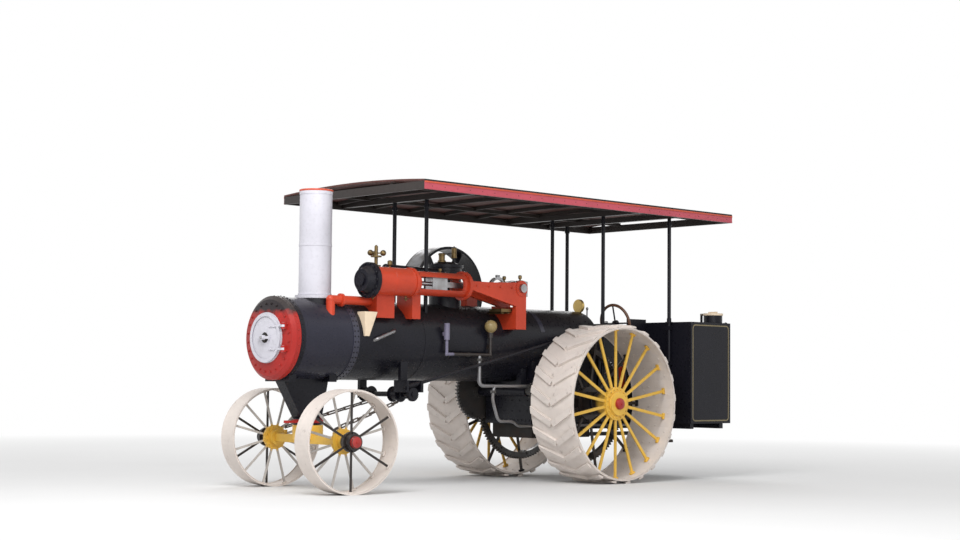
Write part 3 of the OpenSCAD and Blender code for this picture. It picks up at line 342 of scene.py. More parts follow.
class Finish:
    """A material built from nodes on the object's own coordinates."""

    def __init__(self, name):
        self.material = bpy.data.materials.new(name)
        self.material.use_nodes = True
        self.tree = self.material.node_tree
        self.shader = next(n for n in self.tree.nodes if n.type == "BSDF_PRINCIPLED")
        self.place = self.node("ShaderNodeTexCoord").outputs["Object"]
        self.normal = self.node("ShaderNodeNewGeometry").outputs["Normal"]

    def node(self, kind, **settings):
        made = self.tree.nodes.new(kind)
        for key, value in settings.items():
            setattr(made, key, value)
        return made

    def put(self, socket, value):
        if isinstance(value, bpy.types.NodeSocket):
            self.tree.links.new(value, socket)
        else:
            socket.default_value = value

    def noise(self, scale, detail=3.0, stretch=(1, 1, 1), rough=0.55):
        spread = self.node("ShaderNodeMapping")
        self.put(spread.inputs["Vector"], self.place)
        spread.inputs["Scale"].default_value = stretch
        made = self.node("ShaderNodeTexNoise")
        self.put(made.inputs["Vector"], spread.outputs["Vector"])
        made.inputs["Scale"].default_value = scale
        made.inputs["Detail"].default_value = detail
        made.inputs["Roughness"].default_value = rough
        return made.outputs[0]

    def part(self, vector, axis):
        made = self.node("ShaderNodeSeparateXYZ")
        self.put(made.inputs[0], vector)
        return made.outputs[axis]

    def ramp(self, value, low, high, start=0.0, end=1.0):
        made = self.node("ShaderNodeMapRange", clamp=True)
        for i, item in enumerate((value, low, high, start, end)):
            self.put(made.inputs[i], item)
        return made.outputs[0]

    def sum(self, operation, first, second=0.0):
        made = self.node("ShaderNodeMath", operation=operation)
        self.put(made.inputs[0], first)
        self.put(made.inputs[1], second)
        return made.outputs[0]

    def mixed(self, factor, first, second):
        made = self.node("ShaderNodeMix", data_type="RGBA")
        self.put(made.inputs[0], factor)
        self.put(made.inputs[6], first)
        self.put(made.inputs[7], second)
        return made.outputs[2]

    def edges(self, radius):
        """Nought on flat and round faces, one on edges within the radius."""
        bevel = self.node("ShaderNodeBevel", samples=4)
        bevel.inputs["Radius"].default_value = radius
        turn = self.node("ShaderNodeVectorMath", operation="DOT_PRODUCT")
        self.put(turn.inputs[0], bevel.outputs[0])
        self.put(turn.inputs[1], self.normal)
        return self.ramp(turn.outputs["Value"], 0.985, 0.86)

    def topside(self):
        return self.ramp(self.part(self.normal, 2), 0.25, 0.95)

    def blend(self, first, share, second, rest):
        """Two values added in given shares."""
        return self.sum("ADD", self.sum("MULTIPLY", first, share), self.sum("MULTIPLY", second, rest))

    def colour(self, value):
        self.put(self.shader.inputs["Base Color"], value)

    def bump(self, height, distance, strength=1.0):
        made = self.node("ShaderNodeBump")
        made.inputs["Distance"].default_value = distance
        made.inputs["Strength"].default_value = strength
        self.put(made.inputs["Height"], height)
        self.put(self.shader.inputs["Normal"], made.outputs[0])

    def gloss(self, rough, metallic=0.0, coat=0.0, coat_rough=0.1):
        self.put(self.shader.inputs["Roughness"], rough)
        self.shader.inputs["Metallic"].default_value = metallic
        self.shader.inputs["Coat Weight"].default_value = coat
        self.shader.inputs["Coat Roughness"].default_value = coat_rough


def known(make):
    """Keeps one material for each name."""

    def kept(name, *values, **settings):
        found = bpy.data.materials.get(name)
        return found or make(name, *values, **settings)

    return kept


@known
def painted(name, colour, rough=0.36, coat=0.15, chips=0.6, dust=0.3, pale=1.1, shine=0.5, others=()):
    """Old gloss paint: mottled, chipped along its edges, dusty on top, in other colours where told."""
    f = Finish(name)
    f.shader.inputs["Specular IOR Level"].default_value = shine
    under = (0.06, 0.05, 0.045, 1)
    broad = f.noise(1.7, 4)
    fine = f.noise(34, 6)
    speck = f.noise(230, 2)
    base = f.mixed(f.ramp(broad, 0.32, 0.68), shade(colour, 0.84), shade(colour, pale))
    for other, where in others:
        patchy = f.mixed(f.ramp(broad, 0.32, 0.68), shade(other, 0.84), shade(other, pale))
        base = f.mixed(where(f), base, patchy)
    base = f.mixed(f.ramp(fine, 0.52, 0.78, 0, 0.3), base, f.mixed(0.4, base, (0.0, 0.0, 0.0, 1)))
    chip = f.sum("MULTIPLY", f.edges(0.004), f.ramp(fine, 0.42, 0.58, 0, chips))
    base = f.mixed(chip, base, under)
    settled = f.sum("MULTIPLY", f.topside(), f.ramp(fine, 0.3, 0.75, 0.3 * dust, dust))
    base = f.mixed(settled, base, DUST)
    f.colour(base)
    worn = f.ramp(fine, 0.3, 0.75, rough - 0.06, rough + 0.1)
    f.gloss(f.sum("ADD", worn, f.sum("MULTIPLY", settled, 0.4)), coat=coat)
    f.bump(f.blend(fine, 0.6, speck, 0.4), 0.0006, 0.5)
    return f.material


def inside_boards(f):
    """One on the canopy's front, rear and inner faces, nought on the outer faces of its sides."""
    return f.ramp(f.sum("ABSOLUTE", f.part(f.place, 1)), 1.119, 1.1175)


def inner_row_in_painted_shade(f):
    """One on a rear wheel's inner spokes and hub, which are painted near-black as painted shade; nought on
    its outer ones.
    """
    return f.ramp(f.sum("ABSOLUTE", f.part(f.place, 1)), 0.86, 0.8)


def steered_back(f):
    """A place on the front axle, as if the axle weren't steered."""
    turned = f.node("ShaderNodeVectorRotate", rotation_type="Z_AXIS")
    f.put(turned.inputs["Vector"], f.place)
    turned.inputs["Center"].default_value = (FRONT_AXLE_X + REAR_AXLE_X, 0, 0)
    turned.inputs["Angle"].default_value = -STEER_REST
    return turned.outputs[0]


def beyond_hub(f):
    """One on a front wheel's spokes outside the hub's flanges."""
    ahead = f.sum("SUBTRACT", f.part(steered_back(f), 0), FRONT_AXLE_X + REAR_AXLE_X)
    above = f.sum("SUBTRACT", f.part(f.place, 2), FRONT_AXLE_Z)
    squares = f.sum("ADD", f.sum("MULTIPLY", ahead, ahead), f.sum("MULTIPLY", above, above))
    return f.ramp(f.sum("SQRT", squares), 0.124, 0.15)


def outer_row_in_painted_shade(f):
    """One on a front wheel's outer spokes and the outer half of its hub, which are painted near-black as
    painted shade.
    """
    along = f.sum("ABSOLUTE", f.part(steered_back(f), 1))
    return f.ramp(along, FRONT_INNER_Y + 0.12, FRONT_INNER_Y + 0.14)


def smokebox_part(f):
    """One on the smokebox, which is painted lighter: partly its graphite paint, partly a painted sheen of
    sky reflection. Nought on the barrel behind it.
    """
    back = SMOKEBOX_BACK + REAR_AXLE_X
    return f.ramp(f.part(f.place, 0), back - 0.02, back)


def above_door(f):
    """One on the top of the smokebox's front, above the door, which is painted near-black."""
    high = f.sum("ADD", f.part(f.place, 2), f.ramp(f.noise(12, 5), 0.3, 0.7, -0.03, 0.03))
    return f.ramp(high, BOILER_Z + 0.205, BOILER_Z + 0.275)


def above_saddle(f):
    """One on the stack's foot above the barrel, nought on its saddle."""
    return f.ramp(f.part(f.place, 2), BOILER_Z + BOILER_R - 0.004, BOILER_Z + BOILER_R + 0.002)


def pump_body_highlight(f):
    """One on the feed pump's body, which is painted a pale blue-grey as a highlight on its dark iron;
    nought on its air vessel.
    """
    back = PUMP_BACK + REAR_AXLE_X
    return f.ramp(f.part(f.place, 0), back - 0.01, back + 0.01)


def off_the_ball(f):
    """Nought on the feed pump's air vessel, one on its pipes and body."""
    away = f.node("ShaderNodeVectorMath", operation="DISTANCE")
    f.put(away.inputs[0], f.place)
    away.inputs[1].default_value = ROW @ Vector(AIR_VESSEL)
    return f.ramp(away.outputs["Value"], 0.068, 0.07)


@known
def weathered(name, colour, rough=0.62, bare=(0.16, 0.1, 0.07, 1), amount=0.5):
    """Thin chalky paint on iron that meets the ground, with rust and dirt through it."""
    f = Finish(name)
    broad = f.noise(2.3, 5)
    blotch = f.noise(11, 6, rough=0.65)
    fine = f.noise(75, 5)
    base = f.mixed(f.ramp(broad, 0.3, 0.7), shade(colour, 0.86), shade(colour, 1.06))
    base = f.mixed(f.ramp(blotch, 0.56, 0.78, 0, amount * 0.6), base, shade(colour, 0.55))
    scraped = f.ramp(f.sum("ADD", blotch, f.sum("MULTIPLY", fine, 0.35)), 0.82, 0.93, 0, amount)
    base = f.mixed(scraped, base, bare)
    worn = f.sum("MULTIPLY", f.edges(0.005), f.ramp(fine, 0.4, 0.6, 0, amount))
    base = f.mixed(worn, base, bare)
    f.colour(base)
    f.gloss(f.ramp(fine, 0.3, 0.7, rough - 0.08, rough + 0.12))
    f.bump(f.blend(blotch, 0.7, fine, 0.3), 0.0014, 0.6)
    return f.material


@known
def bare_metal(name, colour, rough=0.28, stain=(0.1, 0.075, 0.05, 1), grain=(1, 1, 1), oil=0.35):
    """Machined metal with fine scratches and stains."""
    f = Finish(name)
    blotch = f.noise(9, 5)
    scratch = f.noise(120, 4, grain)
    base = f.mixed(f.ramp(scratch, 0.3, 0.7), shade(colour, 0.85), shade(colour, 1.12))
    base = f.mixed(f.ramp(blotch, 0.5, 0.75, 0, oil), base, stain)
    f.colour(base)
    f.gloss(f.ramp(blotch, 0.3, 0.75, rough - 0.06, rough + 0.22), metallic=1.0)
    f.bump(scratch, 0.0003, 0.5)
    return f.material


@known
def cast_iron(name, colour, rough=0.6, rust=0.3, grease=0.0):
    """Rough dark iron, rusty in patches, or greasy."""
    f = Finish(name)
    blotch = f.noise(7, 6, rough=0.6)
    fine = f.noise(90, 5)
    base = f.mixed(f.ramp(fine, 0.3, 0.7), shade(colour, 0.75), shade(colour, 1.3))
    base = f.mixed(f.ramp(blotch, 0.5, 0.72, 0, rust), base, RUST)
    settled = f.sum("MULTIPLY", f.topside(), f.ramp(fine, 0.3, 0.7, 0.05, 0.25))
    base = f.mixed(settled, base, DUST)
    bright = f.sum("MULTIPLY", f.edges(0.003), f.ramp(fine, 0.4, 0.6, 0, 0.5))
    base = f.mixed(bright, base, shade(colour, 2.6))
    f.colour(base)
    worn = f.ramp(blotch, 0.35, 0.7, rough - 0.25 * grease, rough + 0.15)
    f.gloss(worn, metallic=0.25, coat=0.3 * grease)
    f.bump(f.blend(blotch, 0.4, fine, 0.6), 0.001, 0.6)
    return f.material


@known
def boards(name, colour, width=0.1, along=0, across=1, rough=0.7, paint=0.7, bare=(0.2, 0.13, 0.08, 1)):
    """Painted boards with grain along one axis and dark joints between them."""
    f = Finish(name)
    stretch = [14.0, 14.0, 14.0]
    stretch[along] = 0.7
    grain = f.noise(3, 6, stretch, 0.65)
    broad = f.noise(1.3, 4)
    count = f.sum("DIVIDE", f.part(f.place, across), width)
    inside = f.sum("ABSOLUTE", f.sum("SUBTRACT", f.sum("FRACT", count), 0.5))
    joint = f.ramp(inside, 0.5 - 0.006 / width / 2, 0.5)
    number = f.node("ShaderNodeTexWhiteNoise", noise_dimensions="1D")
    f.put(number.inputs["W"], f.sum("FLOOR", count))
    own = f.ramp(number.outputs["Value"], 0, 1, 0.0, 0.5)
    base = f.mixed(own, colour, shade(colour, 0.6))
    base = f.mixed(f.ramp(grain, 0.35, 0.7, 0, 0.5), base, shade(colour, 0.5))
    worn = f.ramp(f.sum("ADD", grain, f.sum("MULTIPLY", broad, 0.6)), 0.78, 0.98, 0, 1 - paint)
    base = f.mixed(worn, base, bare)
    base = f.mixed(joint, base, (0.008, 0.007, 0.006, 1))
    f.colour(base)
    f.gloss(f.ramp(grain, 0.3, 0.7, rough - 0.1, rough + 0.12))
    f.bump(f.sum("SUBTRACT", f.sum("MULTIPLY", grain, 0.3), joint), 0.002, 0.7)
    return f.material


@known
def clear_glass(name):
    f = Finish(name)
    f.colour(f.mixed(f.noise(40), (0.9, 0.96, 0.95, 1), (0.8, 0.88, 0.86, 1)))
    f.shader.inputs["Transmission Weight"].default_value = 0.9
    f.gloss(f.ramp(f.noise(60), 0.3, 0.7, 0.03, 0.1))
    f.bump(f.noise(25), 0.0002)
    return f.material


class Paints:
    """The machine's finishes, with the colours from the panel."""

    def __init__(self, s):
        dark = (0.02, 0.014, 0.012, 1)
        boiler_look = (0.3, 0.0, 0.3, 0.1, 1.3, 0.22)
        ring_look = (0.42, 0.05, 0.5, 0.2, 1.1, 0.3)
        wheel_look = (0.4, 0.05, 0.7, 0.25)
        self.black = painted("boiler black", s.boiler_colour, *boiler_look)
        # The smokebox takes a lighter black: partly its graphite paint, partly a painted sheen of sky
        # reflection
        graphite_and_painted_sheen = ((shade(s.boiler_colour, 2.6), smokebox_part),)
        self.shell = painted("boiler shell", s.boiler_colour, *boiler_look, others=graphite_and_painted_sheen)
        # A lighter copy of the boiler black: a painted highlight on the bands that catch the light
        self.band = painted("band black", shade(s.boiler_colour, 4.0), 0.3, 0.05, 0.3, 0.1, 1.3, 0.4)
        self.red = painted("engine red", s.engine_colour, 0.34, 0.08, 0.5, 0.2, 1.1, 0.3)
        self.dark_red = painted("ring red", s.ring_colour, *ring_look)
        # The front's top, above the door, is painted near-black
        darkened = (((0.016, 0.011, 0.013, 1), above_door),)
        self.front = painted("smokebox front red", s.ring_colour, *ring_look, others=darkened)
        self.silver = painted("aluminium paint", s.silver_colour, 0.42, 0.0, 0.25, 0.1, 1.03)
        foot = ((s.silver_colour, above_saddle),)
        self.foot = painted("stack foot", s.boiler_colour, 0.36, 0.0, 0.3, 0.1, 1.1, 0.3, others=foot)
        self.door = weathered("door silver", shade(s.silver_colour, 0.92), 0.5, (0.2, 0.2, 0.24, 1), 0.45)
        self.soot = cast_iron("sooty iron", (0.02, 0.018, 0.016), 0.75, 0.2)
        self.cream = painted("cream paint", s.cream_colour, 0.42, 0.05, 0.5, 0.2)
        self.steel = bare_metal("bright steel", (0.42, 0.42, 0.43), 0.26, grain=(1, 12, 12))
        self.brass = bare_metal("brass", (0.5, 0.34, 0.13), 0.3, (0.12, 0.07, 0.03, 1), oil=0.5)
        # Next, a darker copy of the brass with oil stains; the darkening is painted shade
        stain = (0.05, 0.035, 0.02, 1)
        self.dull_brass = bare_metal("dull brass", (0.2, 0.14, 0.065), 0.42, stain, oil=0.6)
        ball = (0.3, 0.22, 0.09, 1)
        # The pump's pipes are dark iron, and its body a pale blue-grey, a painted highlight
        parts = ((dark, off_the_ball), ((0.16, 0.15, 0.22, 1), pump_body_highlight))
        self.pump = painted("pump black", ball, 0.34, 0.0, 0.2, 0.1, others=parts)
        self.gear = cast_iron("gear iron", (0.045, 0.042, 0.04), 0.45, 0.15, 0.8)
        self.rim = weathered("rim cream", s.rim_colour, 0.62)
        self.yellow = painted("wheel yellow", s.wheel_colour, *wheel_look)
        # The rear wheels' inner spokes and the hub's inner part are near-black: painted shade
        rear = ((dark, inner_row_in_painted_shade),)
        self.rear_spokes_and_painted_shade = painted("rear wheel yellow", s.wheel_colour, *wheel_look, others=rear)
        # The front wheels' outer spokes and the hub's outer half are near-black: painted shade
        front = ((s.spoke_colour, beyond_hub), (dark, outer_row_in_painted_shade))
        self.front_spokes_and_painted_shade = painted("front wheel yellow", s.wheel_colour, *wheel_look, others=front)
        self.chain = cast_iron("chain iron", (0.1, 0.085, 0.075), 0.6, 0.6)
        self.deck = cast_iron("deck iron", (0.03, 0.027, 0.025), 0.6, 0.35)
        self.plank = boards("plank wood", (0.17, 0.11, 0.07, 1), 0.118, 1, 0, 0.75, 0.3)
        self.roof = boards("roof board", (0.1, 0.03, 0.025, 1), 0.112, 0, 1, 0.7, 0.75)
        self.under_roof = boards("roof underside", dark, 0.112, 0, 1, 0.75, 0.9)
        inside = ((dark, inside_boards),)
        self.canopy = painted("canopy red", s.canopy_colour, 0.45, 0.05, 0.4, 0.15, others=inside)
        self.bead = painted("bead orange", s.bead_colour, 0.45, 0.05, 0.4, 0.15)
        self.cap = painted("hub cap red", s.ring_colour, 0.36, 0.1, 0.5, 0.1)
        self.stripe = painted("stripe cream", s.stripe_colour, 0.5, 0.0, 0.3, 0.05)
        self.dial = painted("dial white", (0.4, 0.39, 0.36, 1), 0.3, 0.2, 0.0, 0.0)
        self.hand = painted("dial black", (0.012, 0.012, 0.012, 1), 0.4, 0.0, 0.0, 0.0)
        self.glass = clear_glass("gauge glass")
        self.oiled = bare_metal("oiled steel", (0.28, 0.28, 0.29), 0.34, oil=0.6)
        self.grip = boards("turned wood", (0.14, 0.06, 0.03, 1), 0.4, 2, 0, 0.4, 0.9)


def paints():
    return Paints(bpy.context.scene.engine)


# Finishes on the solids

SLOT_FINISH = {
    "boiler_black": "black",
    "engine_red": "red",
    "aluminium_paint": "silver",
    "sooty_iron": "soot",
    "cream_paint": "cream",
    "bright_steel": "steel",
    "brass": "brass",
    "gear_iron": "gear",
    "rim_cream": "rim",
    "wheel_yellow": "yellow",
    "chain_iron": "chain",
    "deck_iron": "deck",
    "roof_board": "roof",
    "canopy_red": "canopy",
}
NODE_FINISH = {
    "boiler": "shell",
    "smokebox_ring": "front",
    "stack_base": "foot",
    "smokebox_door": "door",
    "front_spider_left": "front_spokes_and_painted_shade",
    "front_spider_right": "front_spokes_and_painted_shade",
    "rear_spider_left": "rear_spokes_and_painted_shade",
    "rear_spider_right": "rear_spokes_and_painted_shade",
    "governor": "dull_brass",
    "feed_pump": "pump",
}


def finish_solids():
    p = paints()
    for part in frame["record"]["subparts"]:
        solid = frame["nodes"][part["node"]]
        name = NODE_FINISH.get(part["node"], SLOT_FINISH[part["material_slot"]])
        solid.data.materials.clear()
        solid.data.materials.append(getattr(p, name))
        solid.data.shade_smooth()
        solid.data.set_sharp_from_angle(angle=math.radians(30))


# Boiler


def barrel_point(x, degrees, radius=BOILER_R):
    """A point on the barrel and the way out from it; nought degrees is up and 90 the left side."""
    angle = math.radians(degrees)
    out = Vector((0, math.sin(angle), math.cos(angle)))
    return Vector((x, 0, BOILER_Z)) + radius * out, out


def boiler_bands():
    p = paints()
    piece = Piece()
    dark, light = range(2)
    # The band at 0.5 m and the band at the smokebox's back take the lighter black, a painted highlight
    for x, width, start, end in ((0.5, 0.06, -70, 70), (1.3, 0.045, -180, 180), (2.2, 0.045, -180, 180)):
        piece.mark = light if x < 1 else dark
        place = lengthways(x - width / 2, 0, BOILER_Z)
        piece.hoop(BOILER_R - 0.002, BOILER_R + 0.003, 0, width, start, end, place, 72)
    for x, width, mark in ((SMOKEBOX_BACK, 0.075, light), (3.77, 0.05, dark)):
        piece.mark = mark
        place = lengthways(x - width / 2, 0, BOILER_Z)
        piece.hoop(BOILER_R - 0.002, BOILER_R + 0.006, 0, width, -180, 180, place, 96)
    count = 48
    for x in (SMOKEBOX_BACK - 0.02, SMOKEBOX_BACK + 0.02, 3.77):
        for i in range(count):
            piece.rivet(*barrel_point(x, 360 * (i + 0.5) / count, BOILER_R + 0.006), 0.0095)
    for i in range(60):
        piece.rivet(*barrel_point(0.62 + 0.04 * i, 205), 0.0085)
    for side in (-1, 1):
        for x in steps(0.55, 0.7, 2):
            for z in steps(BOILER_Z - 0.3, BOILER_Z - 0.05, 5):
                down = math.degrees(math.acos((z - BOILER_Z) / BOILER_R))
                piece.rivet(*barrel_point(x, side * down), 0.009)
    piece.made("boiler_bands", "machine", "boiler_black", p.black, p.band)


def firebox_stays():
    p = paints()
    piece = Piece()
    foot_z = 0.66
    for side in (-1, 1):
        for z in steps(0.78, 1.34, 6):
            for x in steps(-0.29, 0.56, 8):
                piece.rivet((x, side * FIREBOX_Y, z), (0, side, 0), 0.0105)
        for x in steps(-0.34, 0.61, 17):
            piece.rivet((x, side * FIREBOX_Y, foot_z), (0, side, 0), 0.013)
        for x in (-0.3, 0.56):
            place = facing((x, side * FIREBOX_Y, 0.72), (0, side, 0))
            piece.turned([(0.032, 0), (0.032, 0.006), (0.026, 0.01), (0, 0.01)], place, 20)
            piece.block((-0.011, -0.011, 0.009), (0.011, 0.011, 0.028), place, 0.002)
    for x, out in ((BACKHEAD_X, -1), (FIREBOX_FRONT, 1)):
        for y in steps(-0.32, 0.32, 12):
            piece.rivet((x, y, foot_z), (out, 0, 0), 0.013)
        for y in steps(-0.29, 0.29, 6):
            for z in steps(0.76, 1.1, 4):
                piece.rivet((x, y, z), (out, 0, 0), 0.0105)
    for i in range(25):
        at = barrel_point(BACKHEAD_X, -108 + 9 * i, BOILER_R - 0.025)[0]
        piece.rivet(at, (-1, 0, 0), 0.011)
    piece.made("firebox_stays", "machine", "boiler_black", p.black)


def backhead_fittings():
    p = paints()
    brass, glass, white, dark, iron = range(5)
    piece = Piece()
    x = BACKHEAD_X
    glass_y = -0.24
    cocks_y = -0.31
    # Gauge glass
    for z in (1.52, 1.73):
        piece.mark = brass
        stem = [(0.017, 0), (0.017, 0.012), (0.011, 0.02), (0.011, 0.05), (0, 0.052)]
        piece.turned(stem, facing((x, glass_y, z), (-1, 0, 0)), 16)
        body = [(0, -0.022), (0.015, -0.022), (0.015, 0.022), (0, 0.022)]
        piece.turned(body, upright(x - 0.042, glass_y, z), 12)
        handle = upright(x - 0.055, glass_y, z)
        piece.block((-0.035, -0.004, -0.004), (0.005, 0.004, 0.004), handle, 0.001)
    piece.mark = glass
    piece.turned([(0, 0), (0.009, 0), (0.009, 0.17), (0, 0.17)], upright(x - 0.042, glass_y, 1.54), 16)
    # Try cocks
    piece.mark = brass
    for z in (1.53, 1.61, 1.69):
        stem = [(0.014, 0), (0.014, 0.01), (0.009, 0.014), (0.009, 0.06), (0, 0.06)]
        piece.turned(stem, facing((x, cocks_y, z), (-1, 0, 0)), 12)
        piece.tube([(x - 0.05, cocks_y, z), (x - 0.05, cocks_y, z - 0.035)], 0.006, 8)
        lever = [(cocks_y, z), (cocks_y - 0.02, z + 0.02), (cocks_y - 0.035, z + 0.02)]
        piece.tube([(x - 0.035, y, height) for y, height in lever], 0.004, 8)
    # Pressure dial on a bent pipe
    piece.tube([(x, 0.02, 1.8), (x - 0.05, 0.02, 1.8), (x - 0.05, 0.02, 1.87)], 0.008, 10, 0.03)
    dial = facing((x - 0.04, 0.02, 1.94), (-1, 0, 0))
    case = [(0, 0), (0.074, 0), (0.078, 0.006), (0.078, 0.03), (0.07, 0.036), (0.064, 0.034), (0, 0.033)]
    piece.turned(case, dial, 40)
    piece.mark = white
    piece.turned([(0.063, 0.033), (0.063, 0.0345), (0, 0.0345)], dial, 40)
    piece.mark = dark
    for i in range(11):
        tick = dial @ about_z(-135 + 27 * i)
        piece.block((-0.0012, 0.048, 0.0344), (0.0012, 0.058, 0.0356), tick)
    piece.block((-0.0016, -0.012, 0.0356), (0.0016, 0.046, 0.0368), dial @ Matrix.Rotation(0.7, 4, "Z"))
    piece.turned([(0.007, 0.0345), (0.007, 0.039), (0, 0.04)], dial, 12)
    # Throttle with its gland
    piece.mark = brass
    gland = facing((x, 0.16, 1.66), (-1, 0, 0))
    collar = [(0.045, 0), (0.045, 0.012), (0.026, 0.016), (0.026, 0.05), (0.02, 0.056), (0, 0.056)]
    piece.turned(collar, gland, 24)
    piece.circle(piece.bolt, gland, 0.036, 0.012, 4, 0.007)
    piece.mark = iron
    piece.tube([(x - 0.04, 0.16, 1.66), (x - 0.075, 0.16, 1.66)], 0.011, 10)
    piece.tube([(x - 0.07, 0.16, 1.66), (x - 0.075, 0.13, 1.8), (x - 0.09, 0.12, 1.9)], 0.009, 10, 0.04)
    knob = [(0, -0.02), (0.012, -0.012), (0.016, 0.0), (0.012, 0.012), (0, 0.02)]
    piece.turned(knob, upright(x - 0.09, 0.12, 1.91), 14)
    # Injector with its pipes, low on the right
    piece.mark = brass
    y = -0.25
    piece.tube([(x - 0.06, y, 1.06), (x - 0.06, y, 1.26)], 0.022, 16)
    union = [(0, -0.012), (0.03, -0.012), (0.03, 0.012), (0, 0.012)]
    for z in (1.06, 1.13, 1.26):
        piece.turned(union, upright(x - 0.06, y, z), 6)
    for start, end in ((1.26, 1.44), (1.06, 0.98)):
        piece.tube([(x - 0.06, y, start), (x - 0.06, y, end), (x, y, end)], 0.011, 10, 0.04)
    piece.made("backhead_fittings", "machine", "brass", p.brass, p.glass, p.dial, p.hand, p.oiled)


def blower_pipe():
    p = paints()
    piece = Piece()
    route = [(BACKHEAD_X + 0.05, -0.19, 1.8), (BACKHEAD_X + 0.05, -0.19, 1.85), (0.3, -0.21, 1.85)]
    route += [(3.1, -0.21, 1.85), (3.19, -0.21, 1.82)]
    piece.tube(route, 0.011, 10, 0.05)
    for x in (0.5, 1.3, 2.2, 3.1):
        clip = facing(*barrel_point(x, -30))
        piece.block((-0.018, -0.014, -0.002), (0.018, 0.014, 0.034), clip, 0.003)
    piece.made("blower_pipe", "machine", "boiler_black", p.black)


# Smokebox


def ring_rivets():
    p = paints()
    piece = Piece()
    for i in range(36):
        piece.rivet(*barrel_point(3.828, 10 * i, 0.406), 0.009)
    for i in range(24):
        at, out = barrel_point(3.893, 15 * i + 7.5, 0.33)
        piece.bolt(at, Vector((1, 0, 0)) + out * 0.25, 0.0105)
    for z in STRAPS_Z:
        piece.block((3.9, 0.262, z - 0.034), (3.925, 0.302, z + 0.034), None, 0.004)
    piece.made("ring_rivets", "machine", "engine_red", p.front)


def door_trim():
    p = paints()
    silver, steel, dark = range(3)
    piece = Piece()
    piece.mark = silver
    for z in STRAPS_Z:
        for y in (0.1, 0.17, 0.235):
            piece.rivet((3.936, y, z), (1, 0, 0), 0.009)
    axis = lengthways(0, 0, BOILER_Z)
    piece.ring(0.205, 0.241, DOOR_X - 0.0035, DOOR_X, axis, 72, 0.001)
    piece.circle(piece.rivet, axis, 0.222, DOOR_X, 10, 0.0075)
    piece.mark = dark
    piece.turned([(0.05, 3.932), (0.05, 3.936), (0.03, 3.942), (0, 3.942)], axis, 28)
    piece.mark = steel
    piece.turned([(0.015, 3.97), (0.015, 3.984), (0.008, 3.992), (0, 3.992)], axis, 6)
    piece.made("door_trim", "smokebox_door", "aluminium_paint", p.door, p.steel, p.soot)


def stack_trim():
    p = paints()
    silver, soot, dark, lip = range(4)
    piece = Piece()
    x = STACK_X
    axis = upright(x, 0, 0)
    piece.ring(0.159, 0.1655, 1.908, 1.93, axis, 72, 0.003)
    piece.ring(0.159, 0.1645, 2.39, 2.415, axis, 72, 0.002)
    piece.mark = lip
    piece.ring(0.158, 0.1685, 2.935, 2.9548, axis, 72, 0.004)
    piece.mark = silver
    for z in steps(1.95, 2.9, 32):
        piece.rivet((x - 0.1605, 0, z), (-1, 0, 0), 0.0055)
    piece.block((x - 0.1635, -0.018, 1.93), (x - 0.159, 0.018, 2.94))
    piece.mark = soot
    piece.ring(0.1495, 0.1528, 1.93, 2.9545, axis, 64)
    piece.mark = dark
    piece.circle(piece.bolt, axis, 0.216, 1.857, 12, 0.011)
    piece.made("stack_trim", "machine", "aluminium_paint", p.silver, p.soot, p.black, p.bead)


def dome_fittings():
    p = paints()
    dark, brass, steel = range(3)
    piece = Piece()
    piece.mark = dark
    axis = upright(DOME_X, 0, 0)
    for i in range(14):
        piece.bolt(axis @ polar(0.18, 360 * i / 14, 2.3), (0, 0, 1), 0.01)
    for z in (2.1, 2.23):
        piece.ring(0.165, 0.1735, z, z + 0.03, axis, 64, 0.002)
    piece.mark = brass
    valve = [(0.044, 2.32), (0.044, 2.345), (0.033, 2.35), (0.033, 2.4), (0.038, 2.405)]
    valve += [(0.038, 2.418), (0.026, 2.424), (0, 2.426)]
    piece.turned(valve, upright(1.65, 0, 0), 24)
    whistle = [(0.03, 2.375), (0.03, 2.39), (0.0275, 2.392), (0.0275, 2.48)]
    whistle += [(0.02, 2.49), (0.008, 2.492), (0.008, 2.5), (0, 2.503)]
    piece.turned(whistle, upright(1.53, 0.06, 0), 24)
    piece.mark = steel
    piece.tube([(1.65, 0, 2.41), (1.5, 0.0, 2.43), (1.44, 0.0, 2.43)], 0.006, 8, 0.03)
    piece.made("dome_fittings", "machine", "brass", p.black, p.dull_brass, p.oiled)


# Engine


def cylinder_trim():
    p = paints()
    red, dark, brass, steel = range(4)
    piece = Piece()
    axis = lengthways(0, ENGINE_Y, ENGINE_Z)
    piece.mark = red
    for x in (CYLINDER_BACK + 0.013, CYLINDER_MID, CYLINDER_FRONT - 0.014):
        piece.ring(0.138, 0.1425, x - 0.012, x + 0.012, axis, 72, 0.001)
    piece.mark = dark
    piece.circle(piece.bolt, axis, 0.163, CYLINDER_FRONT + 0.045, 14, 0.0115)
    piece.circle(piece.bolt, axis, 0.141, CYLINDER_BACK - 0.035, 10, 0.01, -1)
    piece.mark = steel
    for x in steps(CYLINDER_BACK + 0.12, CYLINDER_FRONT - 0.12, 5):
        for z in (1.995, 2.125):
            piece.bolt((x, 0.15, z), (0, -1, 0), 0.009)
    # Oil cup on top and drain cocks below
    piece.mark = brass
    cup = [(0.009, 0), (0.009, 0.02), (0.024, 0.028), (0.024, 0.062)]
    cup += [(0.018, 0.068), (0.006, 0.072), (0, 0.074)]
    piece.turned(cup, upright(CYLINDER_MID, ENGINE_Y, ENGINE_Z + 0.139), 20)
    low = ENGINE_Z - 0.165
    for x in (CYLINDER_BACK + 0.03, CYLINDER_FRONT - 0.03):
        piece.tube([(x, ENGINE_Y, ENGINE_Z - 0.135), (x, ENGINE_Y, ENGINE_Z - 0.185)], 0.008, 10)
        piece.tube([(x, ENGINE_Y - 0.02, low), (x, ENGINE_Y + 0.03, low)], 0.005, 8)
    piece.made("cylinder_trim", "machine", "engine_red", p.red, p.black, p.dull_brass, p.oiled)


